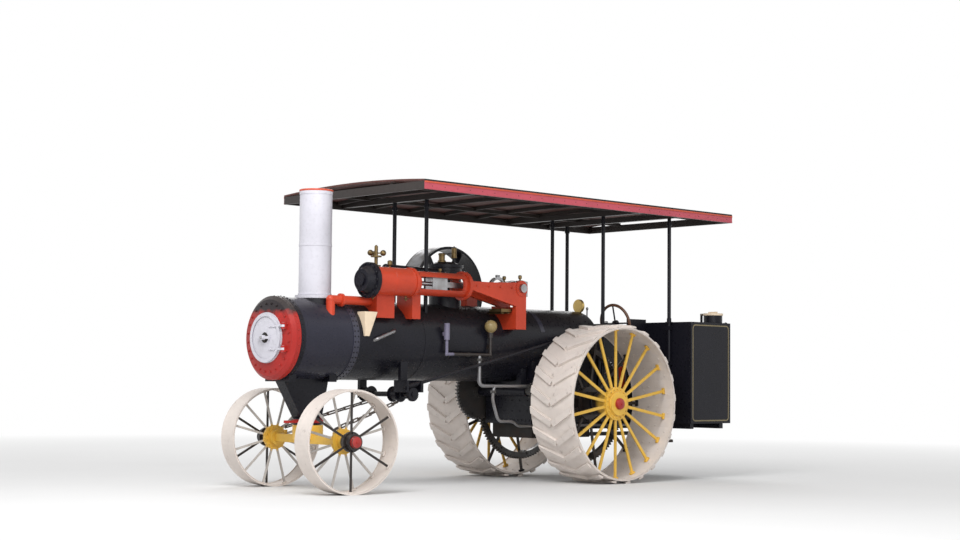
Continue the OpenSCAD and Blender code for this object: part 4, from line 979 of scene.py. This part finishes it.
def guide_trim():
    p = paints()
    steel, brass, dark = range(3)
    piece = Piece()
    axis = lengthways(0, ENGINE_Y, ENGINE_Z)
    piece.mark = brass
    back = CYLINDER_BACK
    gland = [(0.045, back), (0.045, back - 0.052), (0.032, back - 0.06), (0.023, back - 0.06)]
    piece.turned(gland, axis, 24)
    for y in BEARINGS_Y:
        cup = [(0.01, 0), (0.01, 0.018), (0.02, 0.024), (0.02, 0.052), (0.014, 0.058), (0, 0.06)]
        piece.turned(cup, upright(CRANK_X, y, ENGINE_Z + 0.082), 18)
    cup = [(0.008, 0), (0.008, 0.014), (0.017, 0.02), (0.017, 0.04), (0, 0.046)]
    piece.turned(cup, upright(GUIDE_BACK + 0.33, ENGINE_Y, ENGINE_Z + 0.12), 16)
    piece.mark = steel
    for y in BEARINGS_Y:
        for x in (CRANK_X - 0.062, CRANK_X + 0.062):
            piece.bolt((x, y, ENGINE_Z + 0.058), (0, 0, 1), 0.012)
    piece.mark = dark
    piece.circle(piece.bolt, axis, 0.136, GUIDE_BACK, 8, 0.01, -1)
    for x in steps(CRANK_X + 0.14, GUIDE_BACK - 0.05, 4):
        piece.bolt((x, 0.565, ENGINE_Z), (0, 1, 0), 0.011)
    piece.made("guide_trim", "machine", "bright_steel", p.oiled, p.dull_brass, p.red)


def crank_trim():
    p = paints()
    piece = Piece()
    nut = [(0.02, 0.575), (0.02, 0.6), (0.012, 0.606), (0, 0.606)]
    piece.turned(nut, crossways(CRANK_X, 0, ENGINE_Z), 6)
    for side in (-1, 1):
        at = (CRANK_X + 0.127, ENGINE_Y + side * 0.075, ENGINE_Z)
        piece.turned([(0.03, 0), (0.03, 0.012), (0.02, 0.018), (0, 0.018)], facing(at, (0, side, 0)), 24)
    piece.made("crank_trim", "crank", "bright_steel", p.steel)


def strap_trim():
    """The bolted joint of the eccentric's strap."""
    p = paints()
    piece = Piece()
    for side in (-1, 1):
        z = ENGINE_Z + side * 0.142
        piece.block((CRANK_X - 0.024, 0.186, z - 0.014), (CRANK_X + 0.024, 0.214, z + 0.014), None, 0.003)
        piece.bolt((CRANK_X + 0.024, 0.2, z), (1, 0, 0), 0.008)
    piece.made("strap_trim", "machine", "bright_steel", p.oiled)


def flywheel_trim():
    p = paints()
    face, dark = range(2)
    piece = Piece()
    axis = crossways(CRANK_X, 0, ENGINE_Z)
    piece.mark = dark
    piece.circle(piece.bolt, axis, 0.075, -0.8305, 6, 0.012, -1)
    piece.block((-0.012, 0.035, -0.85), (0.012, 0.05, -0.54), axis)
    piece.mark = face
    piece.ring(0.4985, 0.5008, -0.81, -0.58, axis, 128, 0.0006)
    piece.made("flywheel_trim", "crank", "boiler_black", p.oiled, p.black)


def governor_trim():
    p = paints()
    piece = Piece()
    axis = upright(CYLINDER_MID + 0.02, 0.23, 0)
    piece.turned([(0.034, 2.155), (0.034, 2.168), (0.024, 2.172), (0.024, 2.185)], axis, 24)
    piece.turned([(0.012, 2.418), (0.012, 2.425), (0.007, 2.432), (0, 2.433)], axis, 12)
    piece.made("governor_trim", "machine", "brass", p.dull_brass)


def under_engine():
    """The drip tray below the crank, the slanted drain pipe by the smokebox and the feed pipes."""
    p = paints()
    shade_dulled, steel, iron = range(3)
    piece = Piece()
    piece.mark = shade_dulled
    x0, x1, y0, y1, z0, z1 = 1.11, 1.27, 0.33, 0.51, 1.8, 1.84
    piece.block((x0, y0, z0), (x1, y1, z0 + 0.006))
    for x in (x0, x1 - 0.006):
        piece.block((x, y0, z0), (x + 0.006, y1, z1))
    for y in (y0, y1 - 0.006):
        piece.block((x0, y, z0), (x1, y + 0.006, z1))
    for x in (x0 + 0.02, x1 - 0.05):
        piece.block((x, 0.28, z0 - 0.01), (x + 0.03, 0.5, z0))
    piece.mark = steel
    drain = [(2.895, 0.395, 1.47), (2.88, 0.43, 1.485), (2.66, 0.43, 1.567), (2.64, 0.385, 1.577)]
    piece.tube(drain, 0.018, 14, 0.02)
    # Down from the pump and back to the firebox, and off that pipe to the tank
    y = PIPE_Y
    feed = [(1.5, y, 1.34), (1.5, y, 1.03), (0.62, y, 1.03), (0.55, FIREBOX_Y, 1.03)]
    piece.tube(feed, 0.02, 12, 0.07)
    suction = [(1.28, y, 1.03), (1.31, y, 0.9), (1.22, y, 0.66), (1.0, 0.42, 0.66)]
    suction += [(0.88, 0.39, 0.605), (-0.9, 0.39, 0.605), (-1.05, 0.36, 0.62), (-1.125, 0.36, 0.66)]
    piece.tube(suction, 0.017, 12, 0.06)
    piece.mark = iron
    union = [(0, -0.014), (0.03, -0.014), (0.03, 0.014), (0, 0.014)]
    for at in ((-1.05, 0.36, 0.62), (1.5, y, 1.3), (1.295, y, 0.97)):
        piece.turned(union, upright(*at), 6)
    piece.made("pipes_and_tray", "machine", "brass", p.dull_brass, p.oiled, p.gear)


# Wheels


def spoke_foot(piece, turn, z, sizes):
    """The flat foot that joins a spoke to its rim, with two rivets."""
    start, end, half_width, half_height, chamfer, rivet_y, rivet_size = sizes
    low = (start, -half_width, z - half_height)
    piece.block(low, (end, half_width, z + half_height), turn, chamfer)
    for y in (-rivet_y, rivet_y):
        piece.rivet(turn @ Vector((start, y, z)), turn @ Vector((-1, 0, 0)), rivet_size)


def rear_wheel_trim(side, hand):
    p = paints()
    yellow, cream, red, dark = range(4)
    piece = Piece(rear_wheel(hand))
    for z, first, count in REAR_ROWS:
        out = 1 if z > 0.2 else -1
        # The inner row's feet and bolts are black: painted shade
        piece.mark = yellow if out > 0 else dark
        for i in range(count):
            turn = about_z(first + 360 * i / count)
            spoke_foot(piece, turn, z, REAR_FOOT)
            piece.bolt(turn @ Vector((0.155, 0, z + out * 0.025)), (0, 0, out), 0.01)
    # Nuts inside the rim, where each lug's arms are bolted on
    piece.mark = cream
    for i in range(LUGS):
        for half in (-1, 1):
            for reach in (0.06, 0.15, 0.24):
                turn = about_z(360 * i / LUGS + math.degrees(-0.469 * reach / 0.85))
                z = 0.305 + half * 0.883 * reach
                if all(abs(z - row[0]) > 0.03 for row in REAR_ROWS):
                    piece.rivet(turn @ Vector((REAR_RIM_INSIDE, 0, z)), turn @ Vector((-1, 0, 0)), 0.0105)
    for z in (0.004, 0.606):
        piece.ring(0.8, REAR_RIM_INSIDE, z - 0.004, z + 0.004, None, 96)
    piece.mark = red
    piece.turned([(0.062, 0.52), (0.062, 0.54), (0.056, 0.552), (0.03, 0.562), (0, 0.565)], None, 32)
    piece.turned([(0.016, 0.56), (0.016, 0.574), (0, 0.576)], None, 6)
    piece.mark = yellow
    piece.ring(0.1, 0.129, 0.495, 0.506, None, 48, 0.004)
    piece.mark = dark
    piece.ring(0.12, 0.13, 0.2, 0.235, None, 48, 0.005)
    finishes = (p.yellow, p.rim, p.cap, p.black)
    piece.made("rear_wheel_trim_" + side, "rear_wheel_" + side, "wheel_yellow", *finishes)


def bull_gear_trim(side, hand):
    p = paints()
    piece = Piece(rear_wheel(hand))
    piece.circle(piece.bolt, Matrix.Identity(4), 0.595, -0.059, 9, 0.012, -1)
    piece.made("bull_gear_bolts_" + side, "rear_wheel_" + side, "gear_iron", p.gear)


def front_wheel_trim(side, hand):
    p = paints()
    yellow, cream, red, dark = range(4)
    piece = Piece(front_wheel(hand))
    for z, first, count in FRONT_ROWS:
        out = 1 if z > 0.1 else -1
        for i in range(count):
            turn = about_z(first + 360 * i / count)
            piece.mark = cream
            spoke_foot(piece, turn, z, FRONT_FOOT)
            # The outer row's bolts are black: painted shade
            piece.mark = dark if out > 0 else yellow
            reach = 0.086 if out > 0 else 0.102
            piece.bolt(turn @ Vector((reach, 0, z + out * 0.017)), (0, 0, out), 0.008)
    piece.mark = cream
    for z in (0.0035, 0.2505):
        piece.ring(0.476, FRONT_RIM_INSIDE, z - 0.0035, z + 0.0035, None, 96)
    piece.mark = red
    piece.turned([(0.058, 0.278), (0.058, 0.3), (0.05, 0.31), (0.024, 0.318), (0, 0.32)], None, 28)
    piece.turned([(0.013, 0.316), (0.013, 0.328), (0, 0.33)], None, 6)
    # The ring on the hub's outer end is black: painted shade
    piece.mark = dark
    piece.ring(0.07, 0.082, 0.262, 0.276, None, 40, 0.004)
    finishes = (p.yellow, p.rim, p.cap, p.black)
    piece.made("front_wheel_trim_" + side, "front_wheel_" + side, "wheel_yellow", *finishes)


def axle_trim():
    p = paints()
    piece = Piece()
    axle = steered()
    for side in (-1, 1):
        for x in (-0.02, 0.02):
            for y in (0.53, 0.565):
                piece.bolt(axle @ Vector((x, side * y, 0.535)), (0, 0, 1), 0.009)
    for i in range(10):
        at = axle @ polar(0.15, 36 * i + 18, 0.58)
        piece.rivet(at, at - axle @ Vector((0, 0, 0.58)), 0.008)
    piece.made("axle_trim", "front_axle", "wheel_yellow", p.yellow)


def pedestal_trim():
    p = paints()
    piece = Piece()
    axis = upright(FRONT_AXLE_X, 0, 0)
    piece.ring(0.148, 0.1535, 0.655, 0.69, axis, 56, 0.004)
    tongue = [(3.52, -0.05), (3.66, -0.035), (3.69, 0), (3.66, 0.035), (3.52, 0.05)]
    piece.extruded(tongue, 0.655, 0.68)
    piece.circle(piece.bolt, axis, 0.13, 0.7, 10, 0.01)
    piece.made("pedestal_trim", "machine", "engine_red", p.dark_red)


# Steering


def steering_trim():
    p = paints()
    dark, wood, steel = range(3)
    piece = Piece()
    piece.mark = dark
    roller_x, roller_z = ROLLER_AT
    rod_y = 0.47
    start = Vector((roller_x, rod_y, roller_z + 0.09))
    end = Vector((-0.56, rod_y, 1.74))
    ahead = (end - start).normalized()
    side = Vector((0, 1, 0))
    over = ahead.cross(side)
    # Worm thread on the rod and teeth on its wheel
    turns = 6
    helix = []
    for i in range(turns * 12 + 1):
        angle = 2 * math.pi * i / 12
        middle = start + ahead * (-0.055 + 0.11 * i / (turns * 12))
        helix.append(middle + 0.0225 * (math.cos(angle) * side + math.sin(angle) * over))
    piece.tube(helix, 0.003, 6)
    for i in range(24):
        tooth = crossways(roller_x, rod_y, roller_z) @ about_z(15 * i)
        piece.block((0.06, -0.0035, -0.017), (0.07, 0.0035, 0.017), tooth)
    for y in (-0.29, -0.17, 0.17, 0.29):
        piece.ring(0.055, 0.08, y - 0.003, y + 0.003, crossways(roller_x, 0, roller_z), 36, 0.001)
    piece.mark = wood
    wheel = facing(end, ahead)
    grip = [wheel @ polar(0.21, 7.5 * i) for i in range(48)]
    piece.tube(grip, 0.0165, 12, closed=True)
    piece.mark = steel
    piece.turned([(0.024, 0.02), (0.024, 0.034), (0, 0.036)], wheel, 6)
    knob = [(0.008, 0), (0.008, 0.03), (0.014, 0.04), (0.016, 0.07), (0.011, 0.1), (0, 0.104)]
    piece.turned(knob, wheel @ Matrix.Translation((0.21, 0, 0)), 14)
    piece.made("steering_trim", "machine", "boiler_black", p.black, p.grip, p.steel)


# Platform, tank and bunker


def platform_trim():
    p = paints()
    plank, dark = range(2)
    piece = Piece()
    piece.mark = plank
    for count, rear, pitch, width, half, low, high in (
        (6, -1.118, 0.1235, 0.117, 0.42, 0.7, 0.705),
        (5, -1.813, 0.139, 0.133, 0.296, 0.7, 0.705),
        (4, -1.875, 0.053, 0.046, 0.195, 0.41, 0.4145),
    ):
        for i in range(count):
            x = rear + pitch * i
            piece.block((x, -half, low), (x + width, half, high), None, 0.0015)
    piece.mark = dark
    for side in (-1, 1):
        for x in steps(-1.08, -0.42, 9):
            piece.rivet((x, side * 0.435, 0.72), (0, side, 0), 0.008)
    piece.made("platform_trim", "machine", "deck_iron", p.plank, p.black)


def corner_irons(piece, side):
    """Angle irons and rivets round a tank or bunker on one side of the machine."""
    x0, x1 = TANK_X
    y0, y1 = TANK_Y
    z0, z1 = TANK_Z
    for x in (x0, x1):
        inward = 0.035 if x == x0 else -0.035
        low = (min(x, x + inward), side * y1 - 0.0015, z0)
        high = (max(x, x + inward), side * y1 + 0.0015, z1)
        piece.block(low, high)
        for z in steps(z0 + 0.04, z1 - 0.04, 17):
            piece.rivet((x + inward / 2, side * (y1 + 0.0015), z), (0, side, 0), 0.0065)
    for z in (z0 + 0.02, z1 - 0.02):
        for x in steps(x0 + 0.06, x1 - 0.06, 11):
            piece.rivet((x, side * y1, z), (0, side, 0), 0.0065)
    for x, out in ((x0, -1), (x1, 1)):
        for y in (y0 + 0.02, y1 - 0.02):
            for z in steps(z0 + 0.04, z1 - 0.04, 17):
                piece.rivet((x, side * y, z), (out, 0, 0), 0.0065)


def pinstripe(piece, side, width):
    """A lined panel with rounded corners on the outer face."""
    y = side * (TANK_Y[1] + 0.0012)
    x0, x1, z0, z1, r = -1.785, -1.155, 0.66, 1.73, 0.04
    corners = [(x1 - r, z1 - r, 0), (x0 + r, z1 - r, 90), (x0 + r, z0 + r, 180), (x1 - r, z0 + r, 270)]
    outline = [(cx, cz, a) for cx, cz, first in corners for a in steps(first, first + 90, 7)]
    count = len(outline)
    points = []
    for cx, cz, a in outline:
        out = Vector((math.cos(math.radians(a)), 0, math.sin(math.radians(a))))
        for radius in (r - width / 2, r + width / 2):
            for lift in (-0.0008, 0.0006):
                points.append(Vector((cx, y + side * lift, cz)) + out * radius)
    faces = []
    for i in range(count):
        a = 4 * i
        b = 4 * ((i + 1) % count)
        faces += [(a + 1, a + 3, b + 3, b + 1), (a, b, b + 2, a + 2)]
        faces += [(a, a + 1, b + 1, b), (a + 2, b + 2, b + 3, a + 3)]
    piece.add(points, faces)


def tank_trim():
    p = paints()
    dark, stripe = range(2)
    piece = Piece()
    corner_irons(piece, 1)
    piece.mark = stripe
    pinstripe(piece, 1, bpy.context.scene.engine.stripe_width)
    piece.mark = dark
    # Two bolts of the neck's ring would lie under the lid's hinge
    for i in range(12):
        if i not in (8, 9):
            piece.bolt(LID_AT + polar(0.155, 30 * i + 15, TANK_Z[1]), (0, 0, 1), 0.008)
    piece.made("tank_trim", "machine", "boiler_black", p.black, p.stripe)


def bunker_trim():
    p = paints()
    dark, stripe = range(2)
    piece = Piece()
    piece.mark = dark
    corner_irons(piece, -1)
    piece.mark = stripe
    pinstripe(piece, -1, bpy.context.scene.engine.stripe_width)
    piece.made("bunker_trim", "machine", "boiler_black", p.black, p.stripe)


def lid_trim():
    p = paints()
    piece = Piece()
    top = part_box("tank_lid")[1].z
    vent = [LID_AT + Vector((-0.04, 0, top - 0.012)), LID_AT + Vector((-0.04, 0, top - 0.001))]
    piece.tube(vent, 0.004, 8)
    piece.circle(piece.rivet, Matrix.Translation(LID_AT), 0.098, top - 0.02, 8, 0.006)
    piece.made("lid_trim", "tank_lid", "cream_paint", p.cream)


# Canopy


def roof_height(y):
    return 3.0 + 0.045 * (1 - (y / ROOF_HALF) ** 2)


def canopy_trim():
    p = paints()
    bead, panel, dark = range(3)
    piece = Piece()
    x0, x1 = (c.x - REAR_AXLE_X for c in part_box("canopy_boards"))
    for side in (-1, 1):
        y = side * ROOF_HALF
        for mark, proud, low, high in ((bead, 0.006, 2.984, 3.001), (panel, 0.003, 2.922, 2.934)):
            piece.mark = mark
            out = y + side * proud
            piece.block((x0, min(y, out), low), (x1, max(y, out), high), None, proud / 3)
        piece.mark = dark
        for x in steps(x0 + 0.1, x1 - 0.1, 28):
            piece.rivet((x, y, 2.955), (0, side, 0), 0.005)
    # Cross bows under the boards, and two long purlins
    piece.mark = dark
    section = [Vector((dx, 0, dz)) for dx in (-0.02, 0.02) for dz in (-0.022, 0.015)]
    faces = [(0, 1, 3, 2), (4, 6, 7, 5), (0, 4, 5, 1), (2, 3, 7, 6), (0, 2, 6, 4), (1, 5, 7, 3)]
    for x in steps(-1.45, 2.7, 9):
        path = [Vector((x, y, roof_height(y) - 0.016)) for y in steps(-1.08, 1.08, 17)]
        for ends in zip(path, path[1:]):
            piece.add([end + corner for end in ends for corner in section], faces)
    for y in (-0.6, 0.6):
        z = roof_height(y)
        piece.block((x0 + 0.02, y - 0.02, z - 0.05), (x1 - 0.02, y + 0.02, z - 0.012))
    piece.made("canopy_trim", "machine", "canopy_red", p.bead, p.canopy, p.under_roof)


def post_flanges():
    p = paints()
    piece = Piece()
    collar = [(0.021, 0.05), (0.026, 0.045), (0.026, 0.008), (0.045, 0.006), (0.045, 0), (0.02, 0)]
    posts = ((-1.097, 0.8), (-0.43, 0.398), (2.095, 0.252))
    for side in (-1, 1):
        x, y = posts[0]
        piece.turned(collar, upright(x, side * y, TANK_Z[1] - 0.004), 24)
        for x, y in posts:
            piece.ring(0.02, 0.03, 2.86, 2.895, upright(x, side * y, 0), 24, 0.003)
    piece.made("post_flanges", "machine", "boiler_black", p.black)


# Levers and drawbar


def lever_trim():
    p = paints()
    piece = Piece()
    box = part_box("levers")
    for i in range(9):
        angle = math.radians(62 + 6 * i)
        at = Vector((-0.82 + 0.54 * math.cos(angle), 0.343, 0.72 + 0.54 * math.sin(angle)))
        if at.z < box[1].z - 0.02:
            turn = Matrix.Translation(at) @ Matrix.Rotation(-angle, 4, "Y")
            piece.block((0.006, -0.008, -0.004), (0.016, 0.008, 0.004), turn)
    piece.made("lever_trim", "machine", "bright_steel", p.steel)


def drawbar_trim():
    p = paints()
    piece = Piece()
    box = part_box("drawbar")
    for x in (-1.77, -0.42):
        for y in (-0.045, 0.045):
            piece.bolt((x, y, 0.47), (0, 0, -1), 0.011)
    eye = Vector((box[0].x - REAR_AXLE_X + 0.055, 0, 0.51))
    piece.ring(0.0205, 0.042, 0, 0.004, Matrix.Translation(eye), 36, 0.001)
    piece.made("drawbar_trim", "machine", "sooty_iron", p.soot)


# Stage

CAMERA_AT = (13.752, 13.417, 1.077)
CAMERA_YAW = 226.667
CAMERA_PITCH = 3.716
CAMERA_ROLL = 0.547
FOCAL_PIXELS = 1713.743
IMAGE_WIDTH = 960
SENSOR = 36.0


def camera():
    """The photograph's viewpoint, which stands low ahead of the machine's left side."""
    yaw, pitch, roll = (math.radians(a) for a in (CAMERA_YAW, CAMERA_PITCH, CAMERA_ROLL))
    ahead = Vector((math.cos(pitch) * math.cos(yaw), math.cos(pitch) * math.sin(yaw), math.sin(pitch)))
    side = ahead.cross(Vector((0, 0, 1))).normalized()
    up = side.cross(ahead)
    right = math.cos(roll) * side + math.sin(roll) * up
    top = math.cos(roll) * up - math.sin(roll) * side
    lens = bpy.data.cameras.new("camera")
    lens.sensor_width = SENSOR
    lens.lens = FOCAL_PIXELS * SENSOR / IMAGE_WIDTH
    lens.clip_end = 400
    made = bpy.data.objects.new("camera", lens)
    turn = Matrix((right, top, -ahead)).transposed().to_4x4()
    made.matrix_world = ROW @ Matrix.Translation(CAMERA_AT) @ turn
    bpy.context.scene.collection.objects.link(made)
    bpy.context.scene.camera = made


def lamp(name, direction, distance, size, power, aim=(0.2, 0, 1.4)):
    light = bpy.data.lights.new(name, "AREA")
    light.size = size
    light.energy = power
    made = bpy.data.objects.new(name, light)
    out = Vector(direction).normalized()
    made.matrix_world = facing(Vector(aim) + out * distance, out)
    bpy.context.scene.collection.objects.link(made)


def seen_directly(f):
    """One for rays from the camera, mirrors and glass, which see the white surroundings."""
    path = f.node("ShaderNodeLightPath")
    both = f.sum("ADD", path.outputs["Is Camera Ray"], path.outputs["Is Glossy Ray"])
    return f.ramp(f.sum("ADD", both, path.outputs["Is Transmission Ray"]), 0, 1)


def floor(brightness):
    piece = Piece(Matrix.Identity(4))
    piece.turned([(radius, 0.0) for radius in (0.0, 6.0, 12.0, 30.0, 90.0, 180.0)], None, 64)
    mesh = bpy.data.meshes.new("floor")
    mesh.from_pydata(piece.points, [], piece.faces)
    f = Finish("pale floor")
    pale = (brightness, brightness, brightness, 1)
    f.colour(f.mixed(f.noise(0.8, 4), pale, shade(pale, 0.96)))
    f.gloss(f.ramp(f.noise(6, 4), 0.3, 0.7, 0.8, 0.95))
    f.shader.inputs["Specular IOR Level"].default_value = 0.1
    f.bump(f.noise(22, 4), 0.001, 0.3)
    white = f.node("ShaderNodeEmission")
    away = f.node("ShaderNodeVectorMath", operation="LENGTH")
    f.put(away.inputs[0], f.place)
    blend = f.node("ShaderNodeMixShader")
    f.put(blend.inputs[0], f.sum("MULTIPLY", f.ramp(away.outputs["Value"], 5.0, 16.0), seen_directly(f)))
    f.put(blend.inputs[1], f.shader.outputs[0])
    f.put(blend.inputs[2], white.outputs[0])
    end = next(n for n in f.tree.nodes if n.type == "OUTPUT_MATERIAL")
    f.put(end.inputs["Surface"], blend.outputs[0])
    mesh.materials.append(f.material)
    made = bpy.data.objects.new("floor", mesh)
    bpy.context.scene.collection.objects.link(made)


def surroundings(level):
    world = bpy.data.worlds.new("surroundings")
    bpy.context.scene.world = world
    world.use_nodes = True
    tree = world.node_tree
    tree.nodes.clear()
    path = tree.nodes.new("ShaderNodeLightPath")
    total = None
    for name in ("Is Camera Ray", "Is Glossy Ray", "Is Transmission Ray"):
        add = tree.nodes.new("ShaderNodeMath")
        add.operation = "MAXIMUM"
        tree.links.new(path.outputs[name], add.inputs[0])
        if total is not None:
            tree.links.new(total, add.inputs[1])
        total = add.outputs[0]
    soft = tree.nodes.new("ShaderNodeBackground")
    soft.inputs["Color"].default_value = (1, 1, 1, 1)
    soft.inputs["Strength"].default_value = level
    white = tree.nodes.new("ShaderNodeBackground")
    white.inputs["Color"].default_value = (1, 1, 1, 1)
    blend = tree.nodes.new("ShaderNodeMixShader")
    tree.links.new(total, blend.inputs[0])
    tree.links.new(soft.outputs[0], blend.inputs[1])
    tree.links.new(white.outputs[0], blend.inputs[2])
    end = tree.nodes.new("ShaderNodeOutputWorld")
    tree.links.new(blend.outputs[0], end.inputs["Surface"])


# Settings


def colour_setting(name, description, value):
    return bpy.props.FloatVectorProperty(
        name=name, description=description, subtype="COLOR", size=4, min=0, max=1, default=value
    )


class EngineSettings(bpy.types.PropertyGroup):
    """Colours and sizes that a user may change before the pieces are made"""

    boiler_colour: colour_setting(
        "Boiler", "Black of the boiler, tank and ironwork", (0.007, 0.007, 0.011, 1)
    )
    engine_colour: colour_setting("Engine", "Red of the cylinder and engine frame", (0.5, 0.048, 0.018, 1))
    ring_colour: colour_setting("Ring", "Red of the smokebox ring and hub caps", (0.36, 0.018, 0.014, 1))
    silver_colour: colour_setting("Stack", "Aluminium paint of the stack and door", (0.62, 0.61, 0.67, 1))
    cream_colour: colour_setting("Cream", "Cream of the tank lid and bracket", (0.74, 0.6, 0.44, 1))
    rim_colour: colour_setting("Rims", "Pale paint of the wheel rims and lugs", (0.72, 0.65, 0.6, 1))
    wheel_colour: colour_setting("Wheels", "Yellow of the spokes and hubs", (0.78, 0.47, 0.06, 1))
    spoke_colour: colour_setting(
        "Front spokes", "Pale paint of the front wheels' inner spokes", (0.5, 0.47, 0.44, 1)
    )
    canopy_colour: colour_setting("Canopy", "Red of the canopy's side boards", (0.5, 0.07, 0.1, 1))
    bead_colour: colour_setting(
        "Canopy bead", "Brighter red of the canopy's top bead", (0.56, 0.075, 0.03, 1)
    )
    stripe_colour: colour_setting("Lining", "Lining on the tank and bunker", (0.2, 0.16, 0.08, 1))
    stripe_width: bpy.props.FloatProperty(
        name="Lining width", description="Width of the tank's lining",
        subtype="DISTANCE", unit="LENGTH", min=0.002, max=0.02, default=0.014,
    )
    floor_brightness: bpy.props.FloatProperty(
        name="Floor", description="How pale the studio floor is",
        subtype="FACTOR", min=0, max=1, default=0.74,
    )
    world_level: bpy.props.FloatProperty(
        name="Soft light", description="Strength of the even light from all round",
        min=0, max=2, default=0.4,
    )


# Operators


class ENGINE_OT_finishes(bpy.types.Operator):
    """Gives each solid of the machine its painted or metal finish"""

    bl_idname = "engine.finishes"
    bl_label = "Finishes"

    def execute(self, context):
        finish_solids()
        return {"FINISHED"}


class ENGINE_OT_boiler(bpy.types.Operator):
    """Adds the boiler's bands, stays, plugs, backhead fittings and blower pipe"""

    bl_idname = "engine.boiler"
    bl_label = "Boiler fittings"

    def execute(self, context):
        boiler_bands()
        firebox_stays()
        backhead_fittings()
        blower_pipe()
        return {"FINISHED"}


class ENGINE_OT_smokebox(bpy.types.Operator):
    """Adds the rivets and trim of the smokebox ring, door, stack and dome"""

    bl_idname = "engine.smokebox"
    bl_label = "Smokebox, stack and dome"

    def execute(self, context):
        ring_rivets()
        door_trim()
        stack_trim()
        dome_fittings()
        return {"FINISHED"}


class ENGINE_OT_engine(bpy.types.Operator):
    """Adds the bolts, oil cups, glands, pipes and trays of the engine"""

    bl_idname = "engine.engine"
    bl_label = "Engine fittings"

    def execute(self, context):
        cylinder_trim()
        guide_trim()
        crank_trim()
        strap_trim()
        flywheel_trim()
        governor_trim()
        under_engine()
        return {"FINISHED"}


class ENGINE_OT_wheels(bpy.types.Operator):
    """Adds the spoke feet, rivets, nuts and hub caps of all four wheels and the driving gears' bolts"""

    bl_idname = "engine.wheels"
    bl_label = "Wheels and gears"

    def execute(self, context):
        for side, hand in (("left", 1), ("right", -1)):
            rear_wheel_trim(side, hand)
            bull_gear_trim(side, hand)
            front_wheel_trim(side, hand)
        return {"FINISHED"}


class ENGINE_OT_steering(bpy.types.Operator):
    """Adds the trim of the front axle, pedestal, worm gear and hand wheel"""

    bl_idname = "engine.steering"
    bl_label = "Steering"

    def execute(self, context):
        axle_trim()
        pedestal_trim()
        steering_trim()
        return {"FINISHED"}


class ENGINE_OT_platform(bpy.types.Operator):
    """Adds the planks, rivets, lining and small fittings of the platform, tank and bunker"""

    bl_idname = "engine.platform"
    bl_label = "Platform, tank and bunker"

    def execute(self, context):
        platform_trim()
        tank_trim()
        lid_trim()
        bunker_trim()
        lever_trim()
        drawbar_trim()
        return {"FINISHED"}


class ENGINE_OT_canopy(bpy.types.Operator):
    """Adds the beads, bows and purlins of the canopy and the flanges of its posts"""

    bl_idname = "engine.canopy"
    bl_label = "Canopy"

    def execute(self, context):
        canopy_trim()
        post_flanges()
        return {"FINISHED"}


class ENGINE_OT_stage(bpy.types.Operator):
    """Adds the floor, lamps, surroundings and camera"""

    bl_idname = "engine.stage"
    bl_label = "Stage"

    def execute(self, context):
        s = context.scene.engine
        camera()
        floor(s.floor_brightness)
        surroundings(s.world_level)
        lamp("key", (0.75, 0.45, 0.75), 11, 5, 720)
        lamp("fill", (0.5, 0.9, 0.25), 12, 8, 270)
        lamp("back", (-0.6, -0.7, 0.6), 11, 7, 300)
        context.scene.view_settings.view_transform = "Standard"
        return {"FINISHED"}


class ENGINE_PT_panel(bpy.types.Panel):
    """Lists the steps that dress the machine"""

    bl_idname = "ENGINE_PT_panel"
    bl_label = "Steam traction engine"
    bl_space_type = "VIEW_3D"
    bl_region_type = "UI"
    bl_category = "Engine"

    def draw(self, context):
        column = self.layout.column(align=True)
        for name in EngineSettings.__annotations__:
            column.prop(context.scene.engine, name)
        for step in STEPS:
            column.operator(step.bl_idname)


STEPS = (
    ENGINE_OT_finishes,
    ENGINE_OT_boiler,
    ENGINE_OT_smokebox,
    ENGINE_OT_engine,
    ENGINE_OT_wheels,
    ENGINE_OT_steering,
    ENGINE_OT_platform,
    ENGINE_OT_canopy,
    ENGINE_OT_stage,
)
CLASSES = (EngineSettings, *STEPS, ENGINE_PT_panel)


def register():
    for item in CLASSES:
        bpy.utils.register_class(item)
    bpy.types.Scene.engine = bpy.props.PointerProperty(type=EngineSettings)


def unregister():
    del bpy.types.Scene.engine
    for item in reversed(CLASSES):
        bpy.utils.unregister_class(item)


def main():
    register()
    bpy.ops.engine.finishes()
    bpy.ops.engine.boiler()
    bpy.ops.engine.smokebox()
    bpy.ops.engine.engine()
    bpy.ops.engine.wheels()
    bpy.ops.engine.steering()
    bpy.ops.engine.platform()
    bpy.ops.engine.canopy()
    bpy.ops.engine.stage()


if __name__ == "__main__":
    main()
